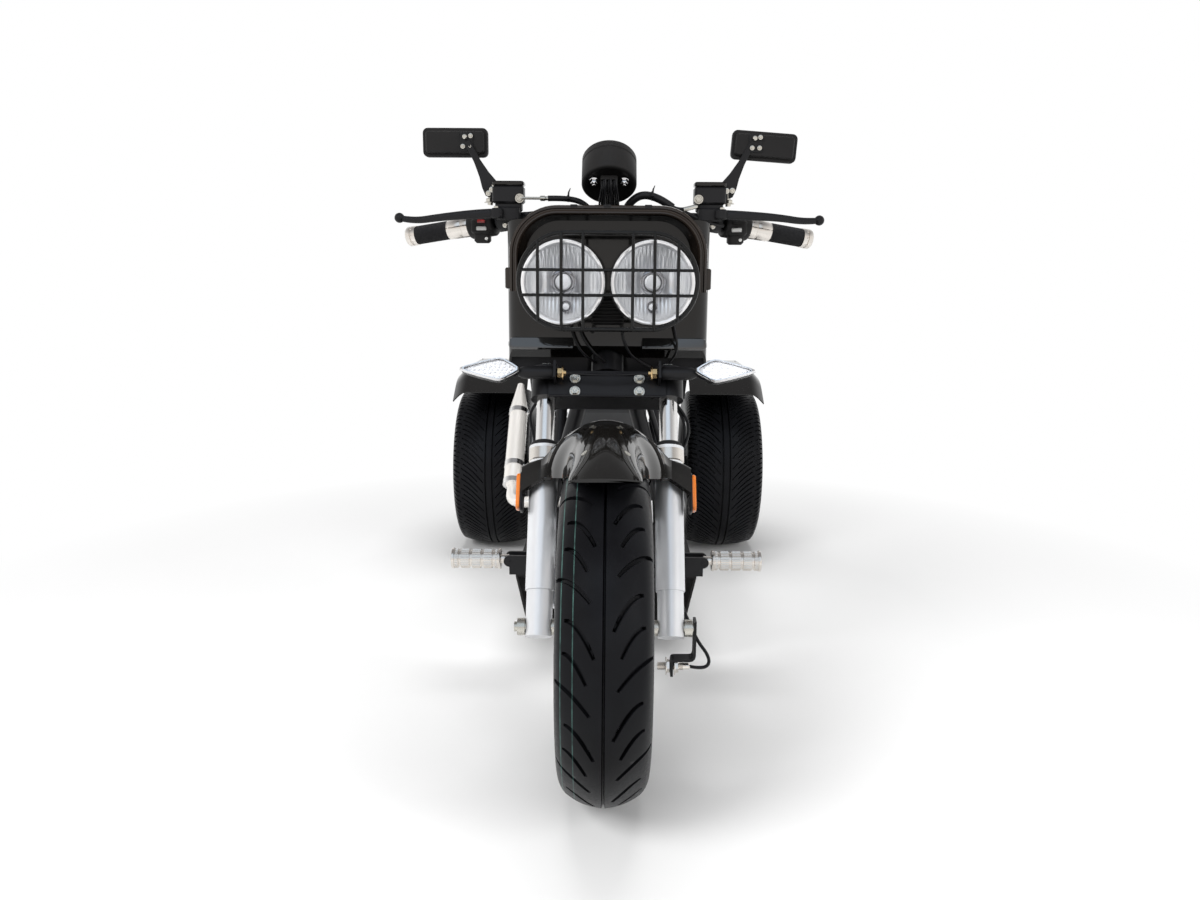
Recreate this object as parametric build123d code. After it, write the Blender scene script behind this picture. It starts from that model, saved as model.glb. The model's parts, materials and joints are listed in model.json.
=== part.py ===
from build123d import *
import math
import os

# Three-wheeled scooter, in millimetres.
# While it is drawn, Y runs back from the front axle, +X is the rider's left and +Z is up.
# SHIFT_Y moves the finished pieces so that the box round them is centred on Y = 0.

WHEELBASE = 1325
FRONT_TYRE_R = 256
REAR_TYRE_R = 229
SHIFT_Y = -(WHEELBASE + REAR_TYRE_R - FRONT_TYRE_R) / 2
CUT = 5
RUN_FIT = 0.05

# Front wheel
FRONT_TYRE_HALF = 65
FRONT_BEAD_R = 165
FRONT_BEAD_HALF = 47
FRONT_SHOULDER_HALF = 54
FRONT_SHOULDER_R = 236
FRONT_BULGE_R = 207
FRONT_TYRE_WALL = 9
FRONT_HUB_R = 32
FRONT_HUB_HALF = 40
SPOKE_COUNT = 5
SPOKE_WIDTH = 34
SPOKE_THICK = 18
FLANGE_HIGH = 12
FLANGE_THICK = 5
RIM_WALL = 6
RIM_WELL = 14
RIM_SEAT = 18
RIM_SLOPE = 8
DISC_R = 110
DISC_HOLE_R = 62
DISC_THICK = 4
DISC_X = -64
DISC_CARRIER_R = 70
DISC_CARRIER_THICK = 4

# Rear wheels
REAR_TYRE_HALF = 102.5
REAR_WHEEL_X = 317.5
REAR_BEAD_R = 127
REAR_BEAD_HALF = 84
REAR_SHOULDER_HALF = 90
REAR_SHOULDER_R = 214
REAR_BULGE_R = 176
REAR_TYRE_WALL = 10
REAR_HUB_R = 36
REAR_HUB_IN = -72
REAR_HUB_OUT = 46
REAR_DISH_X = 22
REAR_DISH_THICK = 9
REAR_HOLES = 8
REAR_HOLE_R = 13
REAR_HOLE_PCR = 76

# Steering head: a frame of its own with Z up the steering axis and Y square to it, to the rear.
# Its origin lies level with the front axle along the axis.
RAKE = 30
LEG_OFFSET = 38
SIN_RAKE = math.sin(math.radians(RAKE))
COS_RAKE = math.cos(math.radians(RAKE))
HEAD_Y = LEG_OFFSET * COS_RAKE
HEAD_Z = FRONT_TYRE_R - LEG_OFFSET * SIN_RAKE
HEAD = Location(Plane(origin=(0, HEAD_Y, HEAD_Z), x_dir=(1, 0, 0), z_dir=(0, SIN_RAKE, COS_RAKE)))

# Fork, in the head frame
LEG_X = 100
LEG_R = 22.5
LEG_FOOT_R = 20.25
LEG_LOW = -15
LEG_FOOT_TOP = 55
LEG_TOP = 287
LEG_COLLAR_R = 24.5
LEG_COLLAR = 18
TUBE_R = 15
TUBE_LOW = 160
TUBE_TOP = 424
AXLE_R = 7.5
AXLE_HALF = 137
AXLE_NUT_R = 13
AXLE_NUT_IN = 120.5
AXLE_NUT_OUT = 132
SPACER_R = 12
SPACER_GAP = 1
LUG_THICK = 8
LUG_X = -80
LUG_BACK = 62
LUG_LOW = 38
LUG_HIGH = 104
CALIPER_X = -46
CALIPER_GAP = 5.5
CALIPER_MID = 70
CALIPER_LONG = 62
CALIPER_WIDE = 48

# Lower clamp and stem, in the head frame
CLAMP_LOW = 370
CLAMP_TOP = 424
SOCKET_R = 25
BRIDGE_LOW = 378
BRIDGE_TOP = 412
BRIDGE_FRONT = -62
BRIDGE_BACK = 22
STEM_R = 14
STEM_TOP = 735
PLATE_HALF = 95
PLATE_THICK = 4
PLATE_LOW = 366
PLATE_TOP = 404
TAB_X = 82
TAB_FRONT = -100
TAB_TOP = 414
TAB_LOW = 385
SIGNAL_Y = -84
SIGNAL_S = 399
STALK_R = 10
STALK_END = 141
STALK_NUT_R = 8
STALK_NUT_IN = 70
LENS_END = 236
LENS_PEAK = 32
LENS_HIGH = 38
LENS_DEEP = 34

# Head tube on the frame, in the head frame
HEAD_TUBE_R = 27
HEAD_TUBE_LOW = 432
HEAD_TUBE_TOP = 640
HEAD_TUBE_HOLLOW_R = 21
BEARING_LONG = 14

# Front fender
FENDER_R = 314
FENDER_THICK = 3
# Sections of the hood: degrees behind the wheel's top, half width, radius of the lower edge
FENDER_SECTIONS = (
    (-31.5, 48, 308),
    (-20, 50, 268),
    (-10, 54, 244),
    (0, 64, 231),
    (9, 82, 226),
    (15, 90, 227),
    (21, 90, 229),
    (24, 74, 231),
    (50, 70, 238),
)
WING_FRONT = -76
WING_THICK = 4
WING_X = 132
WING_IN = 86
WING_KNEE = 98
WING_LOW = 224
WING_TIP_LOW = 204
WING_TIP_TOP = 243
WING_TOP = 253
WING_ROOT_TOP = 263
WING_BACK = -18
BOSS_R = 8
BOSS_S = 232
REFLECTOR_THICK = 9
REFLECTOR_LOW = 178
REFLECTOR_HIGH = 240
REFLECTOR_FRONT = -62
REFLECTOR_BACK = -34

# Speed sensor and its strap, at the left end of the front axle
STRAP_IN = 132
STRAP_THICK = 4
STRAP_HALF = 11
STRAP_TOP = 15
STRAP_DROP = 46
STRAP_FOOT_X = 100
STRAP_FOOT_DROP = 74
SENSOR_R = 6
SENSOR_Z = -61
SENSOR_IN = 78
SENSOR_OUT = 130

# Handlebar and what it carries
BAR_R = 11.1
BAR_MID_R = 12.5
BAR_MID_HALF = 30
BAR_Y = 403
BAR_Z = 878
BAR_BEND_X = 160
BAR_END = (378, 463, 845)
BAR_BEND_R = 70
BAR_CLAMP_R = 24
BAR_CLAMP_HALF = 26
BAR_LONG = math.dist((BAR_BEND_X, BAR_Y, BAR_Z), BAR_END)
BAR_RUN = tuple((e - s) / BAR_LONG for e, s in zip(BAR_END, (BAR_BEND_X, BAR_Y, BAR_Z)))
SWITCH_FROM = 48
SWITCH_TO = 100
SWITCH_R = 24
COLLAR_TO = 142
COLLAR_R = 18.5
RUBBER_TO = 208
RUBBER_R = 17
RING_TO = BAR_LONG
RING_R = 18
LEVER_PIVOT = (196, 366, 884)
LEVER_KNEE = (300, 372, 886)
LEVER_TIP = (384, 384, 880)
LEVER_THICK = 6
LEVER_HIGH = 12
LEVER_BALL_R = 9
CYLINDER_FROM = 12
CYLINDER_TO = 44
CYLINDER_R = 19
POT_X = 179
POT_WIDE = 56
POT_STEP = 6
PERCH_HIGH = 13
PERCH_DROP = 8
POT_DEEP = 40
POT_LOW = 902
POT_HIGH = 940
POT_Y = 386
ARM_X = 214
ARM_Y = 398
ARM_LOW = 902
ARM_KNEE_Z = 930
ARM_TOP_X = 262
ARM_TOP_Z = 966
ARM_R = 5
MIRROR_X = 275
MIRROR_Y = 402
MIRROR_Z = 1008
MIRROR_WIDE = 116
MIRROR_HIGH = 50
MIRROR_DEEP = 22
MIRROR_ROUND = 9
GLASS_WIDE = 104
GLASS_HIGH = 40
GLASS_THICK = 2
GAUGE_Y = 345
GAUGE_Z = 931
GAUGE_TILT = 38
GAUGE_R = 48
GAUGE_ROUND = 4
GAUGE_LONG = 60
GAUGE_FACE_R = 43
GAUGE_FACE_THICK = 3
GAUGE_ARM_THICK = 8
GAUGE_ARM_PAST = 20
GAUGE_ARM_HALF = 15

# Headlamps, guard, cowl and leg shield
SHIELD_FRONT = 232
SHIELD_HALF = 168
SHIELD_WALL = 4
SHIELD_TOP = 868
SHIELD_BACK = 424
SHIELD_BACK_TOP = 812
SHIELD_CREASE_Z = 662
SHIELD_LOW = 627
SHIELD_LOW_FRONT = 262
SHIELD_ROUND = 26
STEM_HOLE_R = 34
SHIELD_NOTCH_TOP = 500
SHIELD_NOTCH_GAP = 6
LAMP_X = 70
LAMP_Z = 768
LAMP_FRONT = 140
LAMP_R = 68
LAMP_RIM = 14
LAMP_WALL = 3
LAMP_BACK_R = 30
LAMP_LENS_BULGE = 9
LAMP_LENS_THICK = 4
GUARD_R = 4
GUARD_WIRE_R = 3
GUARD_STEP = 2
GUARD_FRONT = 112
GUARD_SIDE = 22
GUARD_HALF = 137
GUARD_LOW = LAMP_Z - 71
GUARD_TOP = LAMP_Z + 75
GUARD_BARS = (38, 71, 107)
GUARD_ROWS = (LAMP_Z - 19, LAMP_Z + 19)
GUARD_LEG_X = 24
COWL_FRONT = 158
COWL_HALF = 154
COWL_LOW = 753
COWL_TOP = 884
COWL_ROUND = 74
COWL_WALL = 4
COWL_LIP = 4
COWL_LIP_DEEP = 7

# Frame tubes: (x, y, z) corners of the left run, from the head to the tail
FRAME_TUBE_R = 14
FRAME_BEND = 55
FRAME_RUN = (
    (14, 291, 680),
    (112, 372, 330),
    (125, 430, 177),
    (125, WHEELBASE - 513, 177),
    (112, WHEELBASE - 315, 530),
    (112, WHEELBASE + 175, 530),
)
CROSS_TUBE_R = 8
STAY_Z = 515
STAY_HALF = 376
STAY_YS = (WHEELBASE - 110, WHEELBASE + 115)
PIVOT_TUBE_R = 12
PIVOT_Y = WHEELBASE - 507
PIVOT_Z = 184
PIVOT_HALF = 182
HEAD_BAR_Y = 330
HEAD_BAR_Z = 735

# Floor and pegs
FLOOR_FRONT = 424
FLOOR_BACK = WHEELBASE - 530
FLOOR_Z = 191
FLOOR_THICK = 6
PAN_TOP_HALF = 178
PAN_LOW_HALF = 157
PAN_LOW = 96
PAN_WALL = 4
TUBE_GAP = 1.5
MAT_HALF = 112
MAT_FRONT = FLOOR_FRONT + 44
MAT_BACK = FLOOR_BACK - 34
MAT_THICK = 3
PEG_PIVOT_X = 190
PEG_PIVOT_Y = 436
PEG_PIVOT_Z = 224
PEG_EYE_R = 11
PEG_EYE_HALF = 11
PEG_PIN_R = 5
PEG_EAR_THICK = 6
PEG_EAR_GAP = 0.5
PEG_NECK_R = 9
PEG_FROM = 17
PEG_TO = 115
PEG_R = 18
PEG_FLANGE_R = 20.5
PEG_FLANGE = 6

# Seat
SEAT_FRONT = WHEELBASE - 525
SEAT_BACK = WHEELBASE + 95
SEAT_HALF = 132
SEAT_BASE_Z = 544
SEAT_SPLIT_Z = 628
SEAT_TOP_Z = 706
SEAT_ROUND = 34
SEAT_NOSE_HALF = 92
SEAT_BASE_IN = 8
SEAT_TAPER = 190
SEAT_EDGE = 22

# Engine, rear axle, shocks, fenders, lamp
ENGINE_HALF = 92
ENGINE_FRONT = WHEELBASE - 445
ENGINE_BACK = WHEELBASE - 140
ENGINE_LOW = 195
ENGINE_TOP = 468
BELT_OUT = 146
BELT_FRONT = WHEELBASE - 365
BELT_BACK = WHEELBASE - 63
BELT_LOW = 205
BELT_TOP = 372
ENGINE_ROUND = 18
ENGINE_FOOT_HALF = 60
ENGINE_FOOT_TOP = 222
AXLE_TUBE_R = 28
AXLE_TUBE_HALF = 236
AXLE_CASE_R = 70
AXLE_CASE_HALF = 46
STUB_R = 15
STUB_END = 388
STUB_NUT_R = 20
STUB_NUT_GAP = 1
STUB_NUT = 14
ARM_TUBE_R = 13
SWING_X = 166
SWING_EYE_R = 19
SWING_EYE_HALF = 11
LUG_THICK = 6
LUG_HALF = 12
SHOCK_X = 140
SHOCK_PIN_R = 6
SHOCK_PIN_Z = 284
SHOCK_EYE_R = 14
SHOCK_EYE_HALF = 11
SHOCK_ROD_R = 8
SHOCK_SPRING_R = 27
SHOCK_SPRING = (0.22, 0.80)
REAR_FENDER_IN = 213
REAR_FENDER_OUT = 408
REAR_FENDER_FOLD = 380
REAR_FENDER_THICK = 3
REAR_FENDER_Z = STAY_Z + CROSS_TUBE_R
REAR_FENDER_LIP_Z = 470
REAR_FENDER_RUN = (
    (WHEELBASE - 239, REAR_FENDER_LIP_Z),
    (WHEELBASE - 159, REAR_FENDER_Z),
    (WHEELBASE + 153, REAR_FENDER_Z),
    (WHEELBASE + 224, REAR_FENDER_LIP_Z),
)
REAR_FENDER_DROP = 24
TAIL_HALF = 92
TAIL_ROUND = 12
TAIL_DEEP = 34
TAIL_HIGH = 592

# Exhaust, on the right
MUFFLER_LOW = (-226, WHEELBASE - 487, 276)
MUFFLER_TIP = (-224, WHEELBASE - 277, 494)
MUFFLER_R = 23
MUFFLER_CONE = 44
MUFFLER_TIP_R = 12
EXHAUST_R = 13
EXHAUST_BEND = 24
EXHAUST_AHEAD = 84
EXHAUST_RUN = (
    (-70, ENGINE_FRONT + 4, 262),
    (-70, ENGINE_FRONT - EXHAUST_AHEAD, 250),
    (-226, ENGINE_FRONT - EXHAUST_AHEAD - 6, 250),
    MUFFLER_LOW,
)


def rod(start, end, radius):
    line = Vector(*end) - Vector(*start)
    return extrude(Plane(origin=start, z_dir=line) * Circle(radius), line.length)


def bent_rod(points, bend, radius):
    piece = Part()
    for edge in FilletPolyline(*points, radius=bend).edges():
        face = Plane(origin=edge @ 0, z_dir=edge % 0) * Circle(radius)
        straight = edge.geom_type == GeomType.LINE
        piece += extrude(face, edge.length) if straight else sweep(face, path=edge)
    return piece


def block(low, high):
    size = [h - l for l, h in zip(low, high)]
    return Pos(*low) * Box(*size, align=(Align.MIN, Align.MIN, Align.MIN))


def pair(piece):
    return piece + mirror(piece, about=Plane.YZ)


def post(x, y, low, high, radius):
    return HEAD * extrude(Pos(x, y, low) * Circle(radius), high - low)


def head_block(low, high):
    return HEAD * block(low, high)


def tyre_ring(radius, half, bead_r, bead_half, shoulder, shoulder_r, bulge_r, wall):
    foot_r = bead_r + FLANGE_HIGH
    in_x = shoulder - wall
    in_r = shoulder_r - wall
    edges = [
        ThreePointArc((shoulder, shoulder_r), (0, radius), (-shoulder, shoulder_r)),
        ThreePointArc((in_x, in_r), (0, radius - wall), (-in_x, in_r)),
    ]
    for side in (1, -1):
        edges += [
            Line((side * bead_half, bead_r), (side * bead_half, foot_r)),
            ThreePointArc((side * bead_half, foot_r), (side * half, bulge_r), (side * shoulder, shoulder_r)),
            Line((side * bead_half, bead_r), (side * (bead_half - wall), bead_r)),
            Line((side * (bead_half - wall), bead_r), (side * (bead_half - wall), foot_r)),
            ThreePointArc(
                (side * (bead_half - wall), foot_r),
                (side * (half - wall), bulge_r),
                (side * (shoulder - wall), shoulder_r - wall),
            ),
        ]
    return revolve(make_face(edges), axis=Axis.X)


def rim_barrel(bead_r, bead_half):
    lip = bead_half + FLANGE_THICK
    seat = bead_half - RIM_SEAT
    well = seat - RIM_SLOPE
    half = [
        (lip, bead_r - RIM_WALL),
        (lip, bead_r + FLANGE_HIGH),
        (bead_half, bead_r + FLANGE_HIGH),
        (bead_half, bead_r),
        (seat, bead_r),
        (well, bead_r - RIM_WELL),
    ]
    inner = [
        (well, bead_r - RIM_WELL - RIM_WALL),
        (seat, bead_r - RIM_WALL),
    ]
    other = [(-x, r) for x, r in reversed(half)]
    inner_other = [(-x, r) for x, r in reversed(inner)]
    ring = Polyline(*half, *other, *inner_other, *inner, close=True)
    return revolve(make_face(ring), axis=Axis.X)


def x_cylinder(radius, low, high):
    return rod((low, 0, 0), (high, 0, 0), radius)


# Wheels, drawn round the origin with the axle along X

front_tyre = tyre_ring(
    FRONT_TYRE_R,
    FRONT_TYRE_HALF,
    FRONT_BEAD_R,
    FRONT_BEAD_HALF,
    FRONT_SHOULDER_HALF,
    FRONT_SHOULDER_R,
    FRONT_BULGE_R,
    FRONT_TYRE_WALL,
)
spoke_top = FRONT_BEAD_R - RIM_WELL - RIM_WALL / 2
spoke = block((-SPOKE_THICK / 2, -SPOKE_WIDTH / 2, 0), (SPOKE_THICK / 2, SPOKE_WIDTH / 2, spoke_top))
front_rim = rim_barrel(FRONT_BEAD_R, FRONT_BEAD_HALF)
front_rim += x_cylinder(FRONT_HUB_R, -FRONT_HUB_HALF, FRONT_HUB_HALF)
for turn in range(SPOKE_COUNT):
    front_rim += Rot(360 / SPOKE_COUNT * turn, 0, 0) * spoke
disc_in = DISC_X + DISC_THICK / 2
disc_seat_in = disc_in + DISC_CARRIER_THICK
front_rim += x_cylinder(FRONT_HUB_R, disc_seat_in, 0)
front_rim -= x_cylinder(AXLE_R + RUN_FIT, DISC_X * 2, FRONT_HUB_HALF * 2)
front_disc = x_cylinder(DISC_R, disc_in - DISC_THICK, disc_in) - x_cylinder(DISC_HOLE_R, DISC_X * 2, 0)
front_disc += x_cylinder(DISC_CARRIER_R, disc_in, disc_seat_in) - x_cylinder(FRONT_HUB_R - 6, DISC_X * 2, 0)
front_at = Pos(0, 0, FRONT_TYRE_R)

rear_tyre = tyre_ring(
    REAR_TYRE_R,
    REAR_TYRE_HALF,
    REAR_BEAD_R,
    REAR_BEAD_HALF,
    REAR_SHOULDER_HALF,
    REAR_SHOULDER_R,
    REAR_BULGE_R,
    REAR_TYRE_WALL,
)
rear_rim = rim_barrel(REAR_BEAD_R, REAR_BEAD_HALF)
rear_rim += x_cylinder(REAR_BEAD_R - RIM_WELL - RIM_WALL / 2, REAR_DISH_X, REAR_DISH_X + REAR_DISH_THICK)
rear_rim += x_cylinder(REAR_HUB_R, REAR_HUB_IN, REAR_HUB_OUT)
for turn in range(REAR_HOLES):
    hole = x_cylinder(REAR_HOLE_R, REAR_DISH_X - CUT, REAR_DISH_X + REAR_DISH_THICK + CUT)
    rear_rim -= Rot(360 / REAR_HOLES * turn, 0, 0) * (Pos(0, 0, REAR_HOLE_PCR) * hole)
rear_rim -= x_cylinder(STUB_R + RUN_FIT, REAR_HUB_IN * 2, REAR_HUB_OUT * 2)
rear_left_at = Pos(REAR_WHEEL_X, WHEELBASE, REAR_TYRE_R)

# Fork

leg = post(LEG_X, -LEG_OFFSET, LEG_LOW, LEG_FOOT_TOP, LEG_FOOT_R)
leg += post(LEG_X, -LEG_OFFSET, LEG_FOOT_TOP, LEG_TOP, LEG_R)
leg += post(LEG_X, -LEG_OFFSET, LEG_TOP - LEG_COLLAR, LEG_TOP, LEG_COLLAR_R)
leg += HEAD * rod((LEG_X, -LEG_OFFSET, BOSS_S), (WING_X - WING_THICK, -LEG_OFFSET, BOSS_S), BOSS_R)
leg -= post(LEG_X, -LEG_OFFSET, TUBE_LOW, LEG_TOP + 1, TUBE_R + RUN_FIT)
lug = head_block((LUG_X - LUG_THICK, -LEG_OFFSET, LUG_LOW), (LUG_X, -LEG_OFFSET + LUG_BACK, LUG_HIGH))
axle_hole = front_at * x_cylinder(AXLE_R, -AXLE_HALF, AXLE_HALF)
fork_legs = pair(leg) + lug - axle_hole
fork_tubes = pair(post(LEG_X, -LEG_OFFSET, TUBE_LOW, TUBE_TOP, TUBE_R))

spacer_from = FRONT_HUB_HALF + SPACER_GAP
leg_in = LEG_X - LEG_FOOT_R
spacer_right_from = -disc_seat_in + DISC_CARRIER_THICK + DISC_THICK + SPACER_GAP
front_axle = x_cylinder(AXLE_R, -AXLE_HALF, AXLE_HALF)
front_axle += x_cylinder(SPACER_R, spacer_from, leg_in) + x_cylinder(SPACER_R, -leg_in, -spacer_right_from)
front_axle += pair(x_cylinder(AXLE_NUT_R, AXLE_NUT_IN, AXLE_NUT_OUT))
front_axle = front_at * front_axle

caliper_y = CALIPER_MID - LEG_OFFSET
front_caliper = head_block(
    (LUG_X, caliper_y - CALIPER_WIDE / 2, CALIPER_MID - CALIPER_LONG / 2),
    (CALIPER_X, caliper_y + CALIPER_WIDE / 2, CALIPER_MID + CALIPER_LONG / 2),
)
slot_half = DISC_THICK / 2 + CALIPER_GAP
front_caliper -= front_at * x_cylinder(DISC_R + CALIPER_GAP, DISC_X - slot_half, DISC_X + slot_half)

strap = block((STRAP_IN, -STRAP_HALF, -STRAP_DROP), (STRAP_IN + STRAP_THICK, STRAP_HALF, STRAP_TOP))
strap += block(
    (STRAP_FOOT_X, -STRAP_HALF, -STRAP_DROP),
    (STRAP_IN + STRAP_THICK, STRAP_HALF, STRAP_THICK - STRAP_DROP),
)
strap += block(
    (STRAP_FOOT_X, -STRAP_HALF, -STRAP_FOOT_DROP),
    (STRAP_FOOT_X + STRAP_THICK, STRAP_HALF, -STRAP_DROP),
)
strap -= x_cylinder(AXLE_R, 0, AXLE_HALF + 5)
speed_sensor = front_at * (strap + rod((SENSOR_IN, 0, SENSOR_Z), (SENSOR_OUT, 0, SENSOR_Z), SENSOR_R))

# Lower clamp with stem, signal plate and the signals

stem = pair(post(LEG_X, -LEG_OFFSET, CLAMP_LOW, CLAMP_TOP, SOCKET_R))
stem += head_block((-LEG_X, BRIDGE_FRONT, BRIDGE_LOW), (LEG_X, BRIDGE_BACK, BRIDGE_TOP))
stem += post(0, 0, BRIDGE_LOW, STEM_TOP, STEM_R)
stem += head_block(
    (-PLATE_HALF, BRIDGE_FRONT - PLATE_THICK, PLATE_LOW),
    (PLATE_HALF, BRIDGE_FRONT, PLATE_TOP),
)
tab = head_block((TAB_X, TAB_FRONT, TAB_LOW), (TAB_X + PLATE_THICK, BRIDGE_FRONT, TAB_TOP))
stem += pair(tab)
stem += rod((-BAR_CLAMP_HALF, BAR_Y, BAR_Z), (BAR_CLAMP_HALF, BAR_Y, BAR_Z), BAR_CLAMP_R)
gauge_axis = (0, math.sin(math.radians(GAUGE_TILT)), math.cos(math.radians(GAUGE_TILT)))
gauge_at = Location(Plane(origin=(0, GAUGE_Y, GAUGE_Z), x_dir=(1, 0, 0), z_dir=gauge_axis))
arm_back = GAUGE_R + GAUGE_ARM_PAST
stem += gauge_at * block((-GAUGE_ARM_HALF, 0, -GAUGE_ARM_THICK), (GAUGE_ARM_HALF, arm_back, 0))
stem -= rod((-BAR_MID_HALF, BAR_Y, BAR_Z), (BAR_MID_HALF, BAR_Y, BAR_Z), BAR_MID_R)
stem -= pair(post(LEG_X, -LEG_OFFSET, CLAMP_LOW - 1, TUBE_TOP, TUBE_R))
stalk_hole = rod((TAB_X - CUT, SIGNAL_Y, SIGNAL_S), (STALK_END, SIGNAL_Y, SIGNAL_S), STALK_NUT_R / 2)
steering_stem = stem - pair(HEAD * stalk_hole)

stalk = rod((TAB_X + PLATE_THICK, 0, 0), (STALK_END, 0, 0), STALK_R)
stalk += rod((STALK_NUT_IN, 0, 0), (STALK_END, 0, 0), STALK_NUT_R / 2)
stalk += rod((STALK_NUT_IN, 0, 0), (TAB_X, 0, 0), STALK_NUT_R)
signal_stalks = pair(HEAD * Pos(0, SIGNAL_Y, SIGNAL_S) * stalk)
lens_mid = STALK_END + LENS_PEAK
leaf = Polyline(
    (STALK_END, -LENS_HIGH / 4),
    (lens_mid, -LENS_HIGH / 2),
    (LENS_END, -LENS_HIGH / 8),
    (LENS_END, LENS_HIGH / 8),
    (lens_mid, LENS_HIGH / 2),
    (STALK_END, LENS_HIGH / 4),
    close=True,
)
lens = extrude(Plane.XZ * make_face(leaf), LENS_DEEP / 2, both=True)
signal_lenses = pair(HEAD * Pos(0, SIGNAL_Y, SIGNAL_S) * lens)

# Front fender and its reflectors



def hood_solid(less):
    sections = []
    flat = Plane(origin=(0, 0, 0), x_dir=(1, 0, 0), z_dir=(0, -1, 0))
    for lean, half, low_r in FENDER_SECTIONS:
        low = low_r - less
        oval = Pos(0, low) * Ellipse(half - less, FENDER_R - less - low)
        oval &= Pos(0, low) * Rectangle(4 * half, FENDER_R, align=(Align.CENTER, Align.MIN))
        sections.append(Rot(-lean, 0, 0) * (flat * oval))
    return loft(sections[::-1], ruled=True)


hood = hood_solid(0) - hood_solid(FENDER_THICK)
wing_outline = Polyline(
    (WING_IN, WING_LOW),
    (WING_KNEE, WING_LOW),
    (WING_X, WING_TIP_LOW),
    (WING_X, WING_TIP_TOP),
    (WING_KNEE, WING_TOP),
    (WING_IN, WING_ROOT_TOP),
    close=True,
)
wing_plane = Plane(origin=(0, WING_FRONT + WING_THICK, 0), x_dir=(1, 0, 0), z_dir=(0, -1, 0))
wing = HEAD * extrude(wing_plane * make_face(wing_outline), WING_THICK)
wing += head_block((WING_X - WING_THICK, WING_FRONT, WING_TIP_LOW), (WING_X, WING_BACK, WING_TIP_TOP))
front_fender = front_at * hood + pair(wing)
reflector = head_block(
    (WING_X, REFLECTOR_FRONT, REFLECTOR_LOW),
    (WING_X + REFLECTOR_THICK, REFLECTOR_BACK, REFLECTOR_HIGH),
)
fender_reflectors = pair(reflector)

# Handlebar; the outer runs have a frame of their own with Z out along the bar

bar_left = (BAR_BEND_X, BAR_Y, BAR_Z)
bar_right = (-BAR_BEND_X, BAR_Y, BAR_Z)
bar_right_end = (-BAR_END[0], BAR_END[1], BAR_END[2])
handlebar = bent_rod((bar_right_end, bar_right, bar_left, BAR_END), BAR_BEND_R, BAR_R)
handlebar += rod((-BAR_MID_HALF, BAR_Y, BAR_Z), (BAR_MID_HALF, BAR_Y, BAR_Z), BAR_MID_R)


def on_bar(low, high, radius):
    start = [p + low * d for p, d in zip(bar_left, BAR_RUN)]
    end = [p + high * d for p, d in zip(bar_left, BAR_RUN)]
    return rod(start, end, radius)


bar_core = on_bar(-BAR_BEND_R, BAR_LONG + BAR_R, BAR_R)
switch_housings = pair(on_bar(SWITCH_FROM, SWITCH_TO, SWITCH_R) - bar_core)
collar = on_bar(SWITCH_TO, COLLAR_TO, COLLAR_R) + on_bar(RUBBER_TO, RING_TO, RING_R)
grip_collars = pair(collar - bar_core)
grip_rubbers = pair(on_bar(COLLAR_TO, RUBBER_TO, RUBBER_R) - bar_core)

cylinder = on_bar(CYLINDER_FROM, CYLINDER_TO, CYLINDER_R)
cylinder_mid = [p + (CYLINDER_FROM + CYLINDER_TO) / 2 * d for p, d in zip(bar_left, BAR_RUN)]
cylinder += block(
    (POT_X - POT_WIDE / 2 + 6, LEVER_PIVOT[1] - LEVER_THICK, BAR_Z - 8),
    (LEVER_PIVOT[0] + LEVER_HIGH, cylinder_mid[1], BAR_Z - 1),
)
cylinder += block(
    (POT_X - POT_WIDE / 2 + POT_STEP, LEVER_PIVOT[1] - LEVER_THICK, BAR_Z + PERCH_HIGH),
    (LEVER_PIVOT[0] + LEVER_HIGH, cylinder_mid[1], POT_LOW),
)
cylinder += block(
    (POT_X - POT_WIDE / 2, POT_Y - POT_DEEP / 2, POT_LOW),
    (POT_X + POT_WIDE / 2, POT_Y + POT_DEEP / 2, POT_HIGH),
)
cylinder += block(
    (POT_X - POT_WIDE / 2 + POT_STEP, LEVER_PIVOT[1] - LEVER_THICK, BAR_Z - PERCH_DROP),
    (POT_X - POT_WIDE / 2 + POT_STEP + PERCH_DROP, cylinder_mid[1], POT_LOW),
)
cylinder -= bent_rod((bar_right, bar_left, BAR_END), BAR_BEND_R, BAR_R)
cylinder -= on_bar(SWITCH_FROM, SWITCH_TO, SWITCH_R)
arm_path = ((ARM_X, ARM_Y, ARM_LOW), (ARM_X, ARM_Y, ARM_KNEE_Z), (ARM_TOP_X, MIRROR_Y, ARM_TOP_Z))
arm_tip = (ARM_TOP_X, MIRROR_Y, MIRROR_Z - MIRROR_HIGH / 2)
arm = bent_rod((*arm_path, arm_tip), ARM_R * 1.5, ARM_R)
arm_seat = block((POT_X, ARM_Y - 10, POT_LOW), (ARM_X + 10, ARM_Y + 10, POT_LOW + 14))
cylinder += arm_seat
cylinder -= rod((ARM_X, ARM_Y, ARM_LOW), (ARM_X, ARM_Y, ARM_KNEE_Z), ARM_R)
master_cylinders = pair(cylinder)
mirror_arms = pair(arm)

lever_path = FilletPolyline(LEVER_PIVOT, LEVER_KNEE, LEVER_TIP, radius=40)
lever_plane = Plane(origin=lever_path @ 0, x_dir=(0, 0, 1), z_dir=lever_path % 0)
lever = sweep(lever_plane * Rectangle(LEVER_HIGH, LEVER_THICK * 1.5), path=lever_path)
lever += Pos(*LEVER_TIP) * Sphere(LEVER_BALL_R)
brake_levers = pair(lever - cylinder)

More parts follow.
